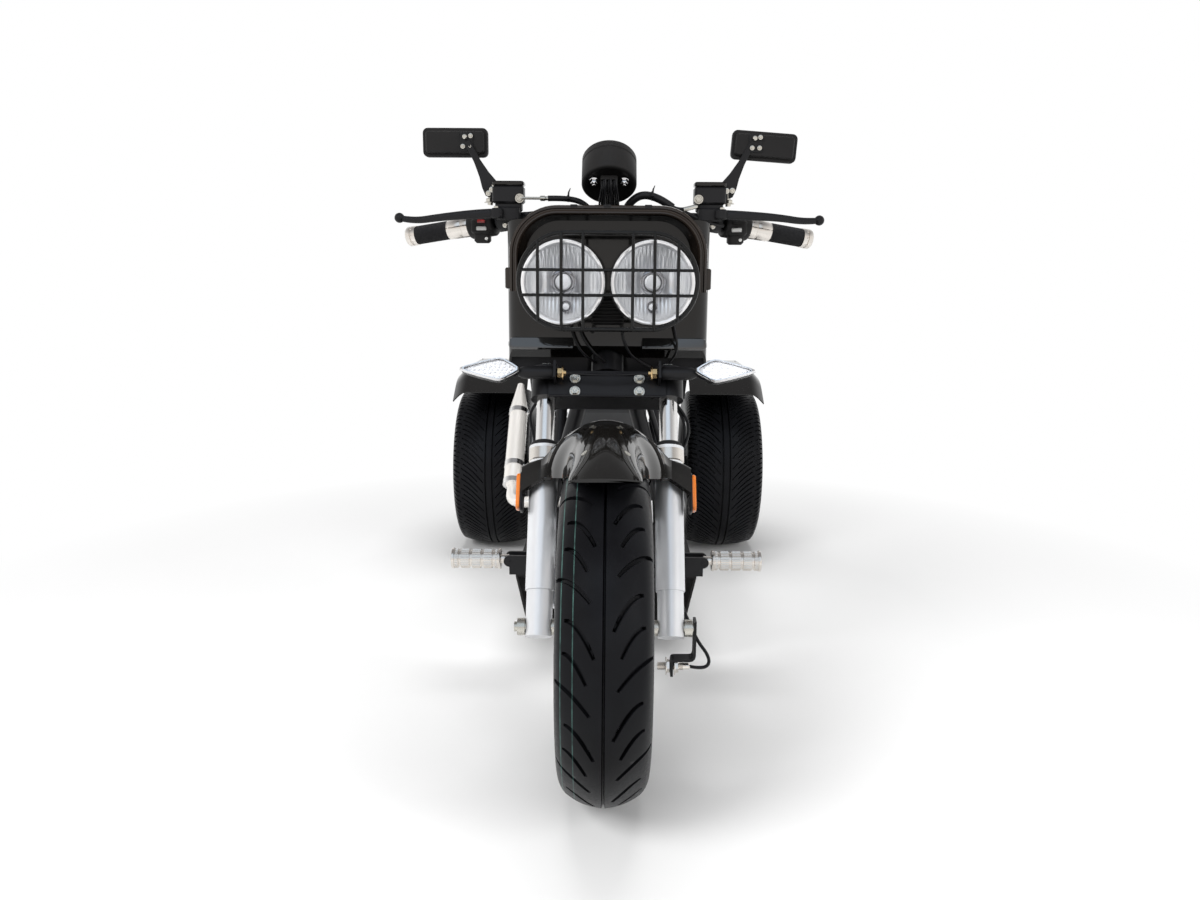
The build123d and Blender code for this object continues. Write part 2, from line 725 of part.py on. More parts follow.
shell = Pos(MIRROR_X, MIRROR_Y, MIRROR_Z) * Box(MIRROR_WIDE, MIRROR_DEEP, MIRROR_HIGH)
shell = fillet(shell.edges().filter_by(Axis.Y), MIRROR_ROUND)
mirror_glass_y = MIRROR_Y + MIRROR_DEEP / 2
mirror_shells = pair(shell)
glass = Pos(MIRROR_X, mirror_glass_y + GLASS_THICK / 2, MIRROR_Z) * Box(GLASS_WIDE, GLASS_THICK, GLASS_HIGH)
mirror_glasses = pair(fillet(glass.edges().filter_by(Axis.Y), MIRROR_ROUND / 2))

gauge = Cylinder(GAUGE_R, GAUGE_LONG, align=(Align.CENTER, Align.CENTER, Align.MIN))
gauge_housing = gauge_at * fillet(gauge.edges(), GAUGE_ROUND)
face = extrude(Pos(0, 0, GAUGE_LONG) * Circle(GAUGE_FACE_R), GAUGE_FACE_THICK)
gauge_face = gauge_at * face

# Leg shield, lamps, guard and cowl


def shield_solid(inset, low):
    side = Polyline(
        (SHIELD_FRONT + inset, SHIELD_CREASE_Z),
        (SHIELD_FRONT + inset, SHIELD_TOP - inset),
        (SHIELD_BACK - inset, SHIELD_BACK_TOP - inset),
        (SHIELD_BACK - inset, low),
        (SHIELD_LOW_FRONT + inset, low),
        close=True,
    )
    body = extrude(Plane.YZ * make_face(side), SHIELD_HALF - inset, both=True)
    return fillet(body.edges().filter_by(Axis.Z), SHIELD_ROUND - inset)


leg_shield = shield_solid(0, SHIELD_LOW) - shield_solid(SHIELD_WALL, SHIELD_LOW - 10)
leg_shield -= post(0, 0, HEAD_TUBE_TOP - 40, STEM_TOP + 60, STEM_HOLE_R)
leg_shield -= post(0, 0, HEAD_TUBE_LOW - 40, SHIELD_NOTCH_TOP, HEAD_TUBE_R + SHIELD_NOTCH_GAP)

lamp_deep = SHIELD_FRONT - LAMP_FRONT
bowl_ring = make_face(Polyline(
    (LAMP_R, 0),
    (LAMP_R, LAMP_RIM),
    (LAMP_BACK_R, lamp_deep),
    (0, lamp_deep),
    (0, lamp_deep - LAMP_WALL),
    (LAMP_BACK_R - LAMP_WALL, lamp_deep - LAMP_WALL),
    (LAMP_R - LAMP_WALL, LAMP_RIM),
    (LAMP_R - LAMP_WALL, 0),
    close=True,
))
bowl = revolve(bowl_ring, axis=Axis.Y)
headlamp_bowls = pair(Pos(LAMP_X, LAMP_FRONT, LAMP_Z) * bowl)
lens_edge = LAMP_R - LAMP_WALL
lens_mid_y = LAMP_LENS_THICK - LAMP_LENS_BULGE
glass_ring = make_face([
    ThreePointArc((-lens_edge, 0), (0, -LAMP_LENS_BULGE), (lens_edge, 0)),
    Line((lens_edge, 0), (lens_edge, LAMP_LENS_THICK)),
    ThreePointArc((lens_edge, LAMP_LENS_THICK), (0, lens_mid_y), (-lens_edge, LAMP_LENS_THICK)),
    Line((-lens_edge, LAMP_LENS_THICK), (-lens_edge, 0)),
])
lamp_glass = revolve(split(glass_ring, Plane.YZ), axis=Axis.Y)
headlamp_lenses = pair(Pos(LAMP_X, LAMP_FRONT, LAMP_Z) * lamp_glass)

guard_round = min((GUARD_TOP - GUARD_LOW - GUARD_SIDE) / 2, GUARD_HALF - GUARD_BARS[0])
guard_corners = ((0, GUARD_TOP), (GUARD_HALF, GUARD_TOP), (GUARD_HALF, GUARD_LOW), (0, GUARD_LOW))
lamp_guard = pair(bent_rod([(x, GUARD_FRONT, z) for x, z in guard_corners], guard_round, GUARD_R))
for x in GUARD_BARS:
    bar_y = GUARD_FRONT - GUARD_STEP
    past = max(x - GUARD_HALF + guard_round, 0)
    short = guard_round - (guard_round**2 - past**2) ** 0.5
    lamp_guard += pair(rod((x, bar_y, GUARD_LOW + short), (x, bar_y, GUARD_TOP - short), GUARD_WIRE_R))
for z in GUARD_ROWS:
    row_y = GUARD_FRONT + GUARD_STEP
    lamp_guard += rod((-GUARD_HALF, row_y, z), (GUARD_HALF, row_y, z), GUARD_WIRE_R)
for z in (GUARD_LOW, GUARD_TOP):
    lamp_guard += pair(rod((GUARD_LEG_X, GUARD_FRONT, z), (GUARD_LEG_X, SHIELD_FRONT, z), GUARD_WIRE_R))


def cowl_outline(more):
    wide = 2 * (COWL_HALF + more)
    high = 2 * (COWL_TOP - COWL_LOW + more)
    return Pos(0, COWL_LOW) * RectangleRounded(wide, high, COWL_ROUND + more)


cowl_face = Plane(origin=(0, SHIELD_FRONT, 0), x_dir=(1, 0, 0), z_dir=(0, -1, 0))
cowl_long = SHIELD_FRONT - COWL_FRONT
headlamp_cowl = extrude(cowl_face * cowl_outline(0), cowl_long)
headlamp_cowl += extrude(cowl_face.offset(cowl_long - COWL_LIP_DEEP) * cowl_outline(COWL_LIP), COWL_LIP_DEEP)
headlamp_cowl -= extrude(cowl_face * cowl_outline(-COWL_WALL), cowl_long)
headlamp_cowl -= block((-2 * COWL_HALF, 0, 0), (2 * COWL_HALF, SHIELD_BACK, COWL_LOW))

# Frame

frame = pair(bent_rod(FRAME_RUN, FRAME_BEND, FRAME_TUBE_R))
frame += post(0, 0, HEAD_TUBE_LOW, HEAD_TUBE_TOP, HEAD_TUBE_R)
frame -= post(0, 0, HEAD_TUBE_LOW - 1, HEAD_TUBE_TOP + 1, HEAD_TUBE_HOLLOW_R)
bearing = post(0, 0, HEAD_TUBE_LOW, HEAD_TUBE_LOW + BEARING_LONG, HEAD_TUBE_R)
bearing += post(0, 0, HEAD_TUBE_TOP - BEARING_LONG, HEAD_TUBE_TOP, HEAD_TUBE_R)
frame += bearing - post(0, 0, HEAD_TUBE_LOW - 1, HEAD_TUBE_TOP + 1, STEM_R + RUN_FIT)
shield_in = SHIELD_HALF - SHIELD_WALL
head_bar = rod((-shield_in, HEAD_BAR_Y, HEAD_BAR_Z), (shield_in, HEAD_BAR_Y, HEAD_BAR_Z), CROSS_TUBE_R)
frame += head_bar - post(0, 0, HEAD_TUBE_LOW, HEAD_TUBE_TOP, HEAD_TUBE_HOLLOW_R)
for y in STAY_YS:
    frame += rod((-STAY_HALF, y, STAY_Z), (STAY_HALF, y, STAY_Z), CROSS_TUBE_R)
frame += rod((-PIVOT_HALF, PIVOT_Y, PIVOT_Z), (PIVOT_HALF, PIVOT_Y, PIVOT_Z), PIVOT_TUBE_R)
tail_x, tail_y, tail_z = FRAME_RUN[-1]
frame += rod((-tail_x, tail_y, tail_z), (tail_x, tail_y, tail_z), FRAME_TUBE_R)
ear_in = PEG_EYE_HALF + PEG_EAR_GAP
for low, high in ((-ear_in - PEG_EAR_THICK, -ear_in), (ear_in, ear_in + PEG_EAR_THICK)):
    ear = block(
        (FRAME_RUN[2][0], PEG_PIVOT_Y + low, FLOOR_Z + FLOOR_THICK),
        (PEG_PIVOT_X, PEG_PIVOT_Y + high, PEG_PIVOT_Z + PEG_EYE_R),
    )
    ear += rod(
        (PEG_PIVOT_X, PEG_PIVOT_Y + low, PEG_PIVOT_Z),
        (PEG_PIVOT_X, PEG_PIVOT_Y + high, PEG_PIVOT_Z),
        PEG_EYE_R,
    )
    frame += pair(ear)
pin_end = ear_in + PEG_EAR_THICK
peg_pin = rod(
    (PEG_PIVOT_X, PEG_PIVOT_Y - pin_end, PEG_PIVOT_Z),
    (PEG_PIVOT_X, PEG_PIVOT_Y + pin_end, PEG_PIVOT_Z),
    PEG_PIN_R,
)
frame += pair(peg_pin)
main_frame = frame

# Floor pan

pan_out = Polyline(
    (-PAN_TOP_HALF, FLOOR_Z),
    (-PAN_LOW_HALF, PAN_LOW),
    (PAN_LOW_HALF, PAN_LOW),
    (PAN_TOP_HALF, FLOOR_Z),
    close=True,
)
pan_in = Polyline(
    (PAN_WALL - PAN_TOP_HALF, FLOOR_Z),
    (PAN_WALL - PAN_LOW_HALF, PAN_LOW + PAN_WALL),
    (PAN_LOW_HALF - PAN_WALL, PAN_LOW + PAN_WALL),
    (PAN_TOP_HALF - PAN_WALL, FLOOR_Z),
    close=True,
)
floor_face = Plane(origin=(0, FLOOR_BACK, 0), x_dir=(1, 0, 0), z_dir=(0, -1, 0))
floor_pan = extrude(floor_face * (make_face(pan_out) - make_face(pan_in)), FLOOR_BACK - FLOOR_FRONT)
floor_top = FLOOR_Z + FLOOR_THICK
floor_pan += block((-PAN_TOP_HALF, FLOOR_FRONT, FLOOR_Z), (PAN_TOP_HALF, FLOOR_BACK, floor_top))
floor_pan += block((-MAT_HALF, MAT_FRONT, floor_top), (MAT_HALF, MAT_BACK, floor_top + MAT_THICK))
floor_pan -= pair(bent_rod(FRAME_RUN, FRAME_BEND, FRAME_TUBE_R + TUBE_GAP))

# Foot pegs


def foot_peg():
    peg = rod(
        (PEG_PIVOT_X, PEG_PIVOT_Y - PEG_EYE_HALF, PEG_PIVOT_Z),
        (PEG_PIVOT_X, PEG_PIVOT_Y + PEG_EYE_HALF, PEG_PIVOT_Z),
        PEG_EYE_R,
    )
    steps = (
        (0, PEG_FROM, PEG_NECK_R),
        (PEG_FROM, PEG_FROM + PEG_FLANGE, PEG_FLANGE_R),
        (PEG_FROM + PEG_FLANGE, PEG_TO - PEG_FLANGE, PEG_R),
        (PEG_TO - PEG_FLANGE, PEG_TO, PEG_FLANGE_R),
    )
    for low, high, radius in steps:
        peg += rod(
            (PEG_PIVOT_X + low, PEG_PIVOT_Y, PEG_PIVOT_Z),
            (PEG_PIVOT_X + high, PEG_PIVOT_Y, PEG_PIVOT_Z),
            radius,
        )
    bore = rod(
        (PEG_PIVOT_X, PEG_PIVOT_Y - pin_end, PEG_PIVOT_Z),
        (PEG_PIVOT_X, PEG_PIVOT_Y + pin_end, PEG_PIVOT_Z),
        PEG_PIN_R + RUN_FIT,
    )
    return peg - bore


peg_left = foot_peg()
peg_right = mirror(peg_left, about=Plane.YZ)

# Seat


def seat_slab(low, high, inset):
    half = SEAT_HALF - inset
    nose = SEAT_NOSE_HALF - inset
    front = SEAT_FRONT + inset
    back = SEAT_BACK - inset
    plan = make_face(Polyline(
        (-nose, front),
        (nose, front),
        (half, front + SEAT_TAPER),
        (half, back),
        (-half, back),
        (-half, front + SEAT_TAPER),
        close=True,
    ))
    slab = extrude(Pos(0, 0, low) * plan, high - low)
    return fillet(slab.edges().filter_by(Axis.Z), SEAT_ROUND)


seat_base = seat_slab(SEAT_BASE_Z, SEAT_SPLIT_Z, SEAT_BASE_IN)
cushion = seat_slab(SEAT_SPLIT_Z, SEAT_TOP_Z, 0)
seat_cushion = fillet(cushion.faces().sort_by(Axis.Z)[-1].edges(), SEAT_EDGE)

# Engine: one plain block with the belt case on its left

engine = block((-ENGINE_HALF, ENGINE_FRONT, ENGINE_LOW), (ENGINE_HALF, ENGINE_BACK, ENGINE_TOP))
engine = chamfer(engine.edges().filter_by(Axis.X), ENGINE_ROUND)
belt_case = block((ENGINE_HALF, BELT_FRONT, BELT_LOW), (BELT_OUT, BELT_BACK, BELT_TOP))
engine += chamfer(belt_case.edges().filter_by(Axis.X), ENGINE_ROUND * 2)
foot = block(
    (-ENGINE_FOOT_HALF, PIVOT_Y, PIVOT_Z),
    (ENGINE_FOOT_HALF, ENGINE_FRONT + ENGINE_ROUND, ENGINE_FOOT_TOP),
)
pivot_rod = rod((-PIVOT_HALF, PIVOT_Y, PIVOT_Z), (PIVOT_HALF, PIVOT_Y, PIVOT_Z), PIVOT_TUBE_R)
engine_block = engine + foot - pivot_rod

# Rear axle with its arms, and the shocks

axle_mid = (0, WHEELBASE, REAR_TYRE_R)
housing = x_cylinder(AXLE_TUBE_R, -AXLE_TUBE_HALF, AXLE_TUBE_HALF)
housing += x_cylinder(AXLE_CASE_R, -AXLE_CASE_HALF, AXLE_CASE_HALF)
housing += x_cylinder(STUB_R, -STUB_END, STUB_END)
nut_from = REAR_WHEEL_X + REAR_HUB_OUT + STUB_NUT_GAP
housing += pair(x_cylinder(STUB_NUT_R, nut_from, nut_from + STUB_NUT))
housing = Pos(*axle_mid) * housing
swing = rod((SWING_X, PIVOT_Y, PIVOT_Z), (SWING_X, WHEELBASE, REAR_TYRE_R), ARM_TUBE_R)
eye_in = SWING_X - SWING_EYE_HALF
swing += rod((eye_in, PIVOT_Y, PIVOT_Z), (SWING_X + SWING_EYE_HALF, PIVOT_Y, PIVOT_Z), SWING_EYE_R)
swing -= rod((0, PIVOT_Y, PIVOT_Z), (PIVOT_HALF + CUT, PIVOT_Y, PIVOT_Z), PIVOT_TUBE_R)
lug_in = SHOCK_X - SHOCK_EYE_HALF
lug_out = SHOCK_X + SHOCK_EYE_HALF
lug_low_y = WHEELBASE - LUG_HALF
lug_high_y = WHEELBASE + LUG_HALF
for low in (lug_in - LUG_THICK, lug_out):
    swing += block((low, lug_low_y, REAR_TYRE_R), (low + LUG_THICK, lug_high_y, SHOCK_PIN_Z + LUG_HALF))
pin_from = (lug_in - LUG_THICK, WHEELBASE, SHOCK_PIN_Z)
swing += rod(pin_from, (lug_out + LUG_THICK, WHEELBASE, SHOCK_PIN_Z), SHOCK_PIN_R)
rear_axle_housing = housing + pair(swing)

shock_low = (SHOCK_X, WHEELBASE, SHOCK_PIN_Z)
shock_top = (SHOCK_X, STAY_YS[0], STAY_Z)


def shock_at(share):
    return [a + (b - a) * share for a, b in zip(shock_low, shock_top)]


shock = rod(shock_low, shock_top, SHOCK_ROD_R)
shock += rod(shock_at(SHOCK_SPRING[0]), shock_at(SHOCK_SPRING[1]), SHOCK_SPRING_R)
for x, y, z in (shock_low, shock_top):
    shock += rod((x - SHOCK_EYE_HALF, y, z), (x + SHOCK_EYE_HALF, y, z), SHOCK_EYE_R)
shock -= rod((0, WHEELBASE, SHOCK_PIN_Z), (2 * SHOCK_X, WHEELBASE, SHOCK_PIN_Z), SHOCK_PIN_R)
shock -= rod((0, STAY_YS[0], STAY_Z), (2 * SHOCK_X, STAY_YS[0], STAY_Z), CROSS_TUBE_R)
rear_shocks = pair(shock)

# Rear fenders: a bent sheet with its outer edge folded down

fender_path = Polyline(*[(REAR_FENDER_IN, y, z) for y, z in REAR_FENDER_RUN])
fender_plane = Plane(origin=fender_path @ 0, x_dir=(1, 0, 0), z_dir=fender_path % 0)
fold_x = REAR_FENDER_FOLD - REAR_FENDER_IN
edge_x = REAR_FENDER_OUT - REAR_FENDER_IN
sheet_face = make_face(Polyline(
    (0, 0),
    (fold_x, 0),
    (edge_x, REAR_FENDER_DROP),
    (edge_x, REAR_FENDER_DROP - REAR_FENDER_THICK * 1.5),
    (fold_x, -REAR_FENDER_THICK),
    (0, -REAR_FENDER_THICK),
    close=True,
))
rear_fenders = pair(sweep(fender_plane * sheet_face, path=fender_path, transition=Transition.RIGHT))

tail_from = tail_y + FRAME_TUBE_R
tail_low = tail_z - FRAME_TUBE_R
tail_box = block((-TAIL_HALF, tail_from, tail_low), (TAIL_HALF, tail_from + TAIL_DEEP, TAIL_HIGH))
tail_lamp = fillet(tail_box.edges().filter_by(Axis.Y), TAIL_ROUND)

# Exhaust

muffler_line = Vector(*MUFFLER_TIP) - Vector(*MUFFLER_LOW)
muffler_face = Plane(origin=MUFFLER_LOW, z_dir=muffler_line)
exhaust = bent_rod(EXHAUST_RUN, EXHAUST_BEND, EXHAUST_R)
exhaust += extrude(muffler_face * Circle(MUFFLER_R), muffler_line.length - MUFFLER_CONE)
cone_face = muffler_face.offset(muffler_line.length - MUFFLER_CONE)
exhaust += loft([cone_face * Circle(MUFFLER_R), cone_face.offset(MUFFLER_CONE) * Circle(MUFFLER_TIP_R)])
exhaust -= engine

NODES = {
    "main_frame": main_frame,
    "floor_pan": floor_pan,
    "leg_shield": leg_shield,
    "headlamp_cowl": headlamp_cowl,
    "headlamp_bowls": headlamp_bowls,
    "headlamp_lenses": headlamp_lenses,
    "lamp_guard": lamp_guard,
    "seat_base": seat_base,
    "seat_cushion": seat_cushion,
    "engine_block": engine_block,
    "rear_axle_housing": rear_axle_housing,
    "rear_shocks": rear_shocks,
    "rear_fenders": rear_fenders,
    "tail_lamp": tail_lamp,
    "exhaust": exhaust,
    "steering_stem": steering_stem,
    "signal_stalks": signal_stalks,
    "signal_lenses": signal_lenses,
    "fork_tubes": fork_tubes,
    "fork_legs": fork_legs,
    "front_axle": front_axle,
    "front_fender": front_fender,
    "fender_reflectors": fender_reflectors,
    "front_caliper": front_caliper,
    "speed_sensor": speed_sensor,
    "handlebar": handlebar,
    "grip_rubbers": grip_rubbers,
    "grip_collars": grip_collars,
    "brake_levers": brake_levers,
    "master_cylinders": master_cylinders,
    "switch_housings": switch_housings,
    "mirror_arms": mirror_arms,
    "mirror_shells": mirror_shells,
    "mirror_glasses": mirror_glasses,
    "gauge_housing": gauge_housing,
    "gauge_face": gauge_face,
    "front_tyre": front_at * front_tyre,
    "front_rim": front_at * front_rim,
    "front_disc": front_at * front_disc,
    "rear_tyre_left": rear_left_at * rear_tyre,
    "rear_rim_left": rear_left_at * rear_rim,
    "rear_tyre_right": mirror(rear_left_at * rear_tyre, about=Plane.YZ),
    "rear_rim_right": mirror(rear_left_at * rear_rim, about=Plane.YZ),
    "peg_left": peg_left,
    "peg_right": peg_right,
}

os.makedirs("parts", exist_ok=True)
for name, piece in NODES.items():
    export_step(Pos(0, SHIFT_Y, 0) * piece, f"parts/{name}.step")
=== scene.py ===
import json
import math

import bmesh
import bpy
import numpy as np
from mathutils import Matrix, Vector
from mathutils.bvhtree import BVHTree
from mathutils.geometry import delaunay_2d_cdt


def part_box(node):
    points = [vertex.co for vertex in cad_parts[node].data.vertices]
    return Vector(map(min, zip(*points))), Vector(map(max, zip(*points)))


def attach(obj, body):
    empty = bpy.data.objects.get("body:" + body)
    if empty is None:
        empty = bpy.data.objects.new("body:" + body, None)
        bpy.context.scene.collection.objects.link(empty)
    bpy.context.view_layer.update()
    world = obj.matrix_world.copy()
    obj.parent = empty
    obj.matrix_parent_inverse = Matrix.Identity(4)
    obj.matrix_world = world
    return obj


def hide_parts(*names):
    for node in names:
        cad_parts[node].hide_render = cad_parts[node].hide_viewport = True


# Looks of the three-wheeled scooter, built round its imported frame.
# Sizes and places are millimetres: X across, Z up, and Y back from the front axle.

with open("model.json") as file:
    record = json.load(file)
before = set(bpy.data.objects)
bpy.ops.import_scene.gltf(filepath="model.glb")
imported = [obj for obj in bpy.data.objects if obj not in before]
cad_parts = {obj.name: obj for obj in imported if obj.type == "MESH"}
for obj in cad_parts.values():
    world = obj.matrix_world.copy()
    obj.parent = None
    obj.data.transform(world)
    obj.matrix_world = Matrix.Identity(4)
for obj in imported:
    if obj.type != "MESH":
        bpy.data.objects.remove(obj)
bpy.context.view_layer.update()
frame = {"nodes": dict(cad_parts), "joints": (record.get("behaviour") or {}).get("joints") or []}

MM = 0.001
TYRE_LOW, TYRE_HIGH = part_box("front_tyre")
AXLE_Y = (TYRE_LOW.y + TYRE_HIGH.y) / 2 / MM
AXLE_Z = (TYRE_LOW.z + TYRE_HIGH.z) / 2 / MM
ORIGIN = np.array((0, AXLE_Y, 0))
RIGHT, BACK, UP = np.eye(3)
FORWARD = -BACK
SIDES = (1, -1)
HANDS = ((1, "left"), (-1, "right"))
FULL_TURN = 2 * math.pi

# The steering head's own axes: square to it towards the rear, and up along it
STEERING = next(j for j in frame["joints"] if j["name"] == "steering_turn")
HEAD_AT = np.array(STEERING["pos_m"]) / MM - ORIGIN
HEAD_UP = np.array(STEERING["axis"])
HEAD_BACK = np.cross(HEAD_UP, RIGHT)


def head(x, back, up):
    return HEAD_AT + (x, 0, 0) + back * HEAD_BACK + up * HEAD_UP


def by_side(side, points):
    return np.array(points, float) * (side, 1, 1)


def unit(vector):
    vector = np.asarray(vector, float)
    return vector / np.linalg.norm(vector)


def units(rows):
    return rows / np.linalg.norm(rows, axis=1)[:, None]


def across(axis):
    """Two directions square to an axis and to each other."""
    axis = unit(axis)
    first = unit(np.cross(UP if abs(axis[2]) < 0.9 else RIGHT, axis))
    return first, np.cross(axis, first)


def circle(count, first, second):
    """Points round a circle or an ellipse, from two of its radii."""
    turn = np.linspace(0, FULL_TURN, count, endpoint=False)
    return np.outer(np.cos(turn), first) + np.outer(np.sin(turn), second)


def bend(start, corner, end, steps):
    return [start * (1 - t) ** 2 + corner * 2 * t * (1 - t) + end * t * t for t in np.linspace(0, 1, steps)]


def smooth_path(points, steps=8):
    """A quadratic spline that leaves its first point and reaches its last one."""
    points = np.asarray(points, float)
    mids = (points[:-1] + points[1:]) / 2
    mids[0], mids[-1] = points[0], points[-1]
    path = [points[0]]
    for before, corner, after in zip(mids, points[1:], mids[1:]):
        path += bend(before, corner, after, steps + 1)[1:]
    return np.array(path)


def rounded(points, radius, steps=5):
    """An open line with its inner corners turned into short curves."""
    points = np.asarray(points, float)
    line = [points[0]]
    for before, corner, after in zip(points, points[1:], points[2:]):
        arms = before - corner, after - corner
        reach = min(radius, *(np.linalg.norm(arm) / 2 for arm in arms))
        start, end = (corner + unit(arm) * reach for arm in arms)
        line += bend(start, corner, end, steps)
    return np.array(line + [points[-1]])


def round_rect(wide, high, radius, steps=5):
    """Corner by corner, anticlockwise."""
    outline = []
    for corner, (sx, sz) in enumerate(((1, 1), (-1, 1), (-1, -1), (1, -1))):
        for turn in np.linspace(0, math.pi / 2, steps) + corner * math.pi / 2:
            x = sx * (wide / 2 - radius) + radius * math.cos(turn)
            outline.append((x, sz * (high / 2 - radius) + radius * math.sin(turn)))
    return np.array(outline)


def inset(outline, distance):
    outline = np.asarray(outline, float)
    along = units(np.roll(outline, -1, axis=0) - outline)
    out = np.column_stack((along[:, 1], -along[:, 0]))
    before = np.roll(out, 1, axis=0)
    lean = 1 + np.sum(out * before, axis=1)
    return outline - distance * (out + before) / np.maximum(lean, 0.5)[:, None]


class Shape:
    """Collects closed forms, then becomes one object that rides on a body."""

    def __init__(self):
        self.points = []
        self.faces = []

    def add(self, points, faces):
        first = len(self.points)
        self.points += [tuple(p) for p in points]
        self.faces += [[first + i for i in face] for face in faces]
        return self

    def rings(self, rings, caps=True, joined=False):
        """Quads between closed rings; joined ties the last ring back to the first."""
        rows, count = len(rings), len(rings[0])
        faces = []
        for row in range(rows if joined else rows - 1):
            low, high = row * count, (row + 1) % rows * count
            for i in range(count):
                j = (i + 1) % count
                faces.append((low + i, low + j, high + j, high + i))
        if caps and not joined:
            faces.append(tuple(range(count))[::-1])
            faces.append(tuple(range((rows - 1) * count, rows * count)))
        return self.add([p for ring in rings for p in ring], faces)

    def stack(self, levels, place, joined=False):
        """Rings from flat outlines and their depths, put in space by a function."""
        return self.rings([[place(a, b, depth) for a, b in flat] for flat, depth in levels], joined=joined)

    def lathe(self, at, axis, profile, sides=36, joined=False):
        """Rings of (distance along the axis, radius)."""
        ring = circle(sides, *across(axis))
        return self.rings([at + unit(axis) * d + ring * max(r, 0.02) for d, r in profile], joined=joined)

    def tube(self, path, radius, sides=12, high=1.0, up=None):
        """A round or oval bar along a path; radius may change from point to point."""
        path = np.asarray(path, float)
        along = units(np.gradient(path, axis=0))
        side = across(along[0])[0] if up is None else np.cross(along[0], up)
        rings = []
        for point, ahead, size in zip(path, along, np.broadcast_to(radius, len(path))):
            side = unit(side - ahead * np.dot(side, ahead))
            rings.append(point + size * circle(sides, side, high * np.cross(side, ahead)))
        return self.rings(rings)

    def hoop(self, path, radius, square, sides):
        """A closed round bar; square is the direction across its plane."""
        rings = []
        for before, here, after in zip(np.roll(path, 1, axis=0), path, np.roll(path, -1, axis=0)):
            out = unit(np.cross(after - before, square))
            rings.append(here + radius * circle(sides, out, square))
        return self.rings(rings, joined=True)

    def plate(self, outline, at, right, up, thick, edge=1.0):
        """A flat sheet with a small chamfer, on two unit directions; it grows along right x up."""
        out = np.cross(right, up)
        small = inset(outline, edge)
        step = math.copysign(edge, thick)
        levels = ((small, 0), (outline, step), (outline, thick - step), (small, thick))
        return self.stack(levels, lambda x, y, height: at + x * right + y * up + height * out)

    def box(self, low, high, edge=1.5, round_by=None, at=(0, 0, 0)):
        """A block with softened edges, its plan round at the corners; its corners count from at."""
        low, high = np.add(low, at), np.add(high, at)
        wide, deep, tall = high - low
        outline = round_rect(wide, deep, round_by or min(wide, deep) * 0.12)
        middle = ((low[0] + high[0]) / 2, (low[1] + high[1]) / 2, low[2])
        return self.plate(outline, middle, RIGHT, BACK, tall, edge)

    def sheet(self, grid, thick):
        """A skin of even thickness over a grid of points, closed at its edges."""
        grid = np.asarray(grid, float)
        square = np.cross(np.gradient(grid, axis=0), np.gradient(grid, axis=1))
        square /= np.maximum(np.linalg.norm(square, axis=2), 1e-9)[:, :, None]
        under = grid - square * thick
        return self.rings([np.concatenate((top, low[::-1])) for top, low in zip(grid, under)])

    def bolt(self, at, axis, radius, high, washer=1.5):
        """A hexagon head on a round flange, with a shallow dished top."""
        wide, top = radius * 1.35, washer + high
        self.lathe(at, axis, ((0, wide), (washer * 0.6, wide), (washer, wide - 0.6)), 24)
        profile = ((washer, radius), (top - 1, radius), (top, radius * 0.86), (top, radius * 0.5))
        return self.lathe(at, axis, (*profile, (top - 0.5, radius * 0.4)), 6)

    def screw(self, at, axis, radius, high):
        """A button head with a socket in its top."""
        profile = [(high * math.sin(t), radius * (0.55 + 0.45 * math.cos(t))) for t in (0, 0.5, 1.0, 1.57)]
        profile += [(high, radius * 0.42), (high * 0.45, radius * 0.4)]
        return self.lathe(at, axis, profile, 20)

    def mirrored(self):
        points = [(-x, y, z) for x, y, z in self.points]
        return self.add(points, [face[::-1] for face in self.faces])

    def mesh(self, name):
        """A clean mesh of everything collected, in metres of the shared frame."""
        mesh = bpy.data.meshes.new(name)
        mesh.from_pydata(((np.array(self.points) + ORIGIN) * MM).tolist(), [], self.faces)
        work = bmesh.new()
        work.from_mesh(mesh)
        bmesh.ops.remove_doubles(work, verts=work.verts, dist=1e-6)
        bmesh.ops.dissolve_degenerate(work, edges=work.edges, dist=1e-7)
        bmesh.ops.recalc_face_normals(work, faces=work.faces)
        work.to_mesh(mesh)
        work.free()
        return mesh

    def build(self, name, material, body, slot, *replaces, sharp=38):
        mesh = self.mesh(name)
        mesh.shade_smooth()
        mesh.set_sharp_from_angle(angle=math.radians(sharp))
        return dress(new_object(name, mesh), material, body, slot, *replaces)


def shapes(count):
    return [Shape() for _ in range(count)]


def new_object(name, data):
    made = bpy.data.objects.new(name, data)
    bpy.context.scene.collection.objects.link(made)
    return made


def dress(piece, material, body, slot, *replaces):
    piece.data.materials.clear()
    piece.data.materials.append(material)
    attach(piece, body)
    if replaces:
        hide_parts(*replaces)
    return piece


# Materials

GRAIN_DEPTH = 0.0004
COAT_ROUGH = 0.03
TYRE_PAINT = (0.09, 0.19, 0.17)


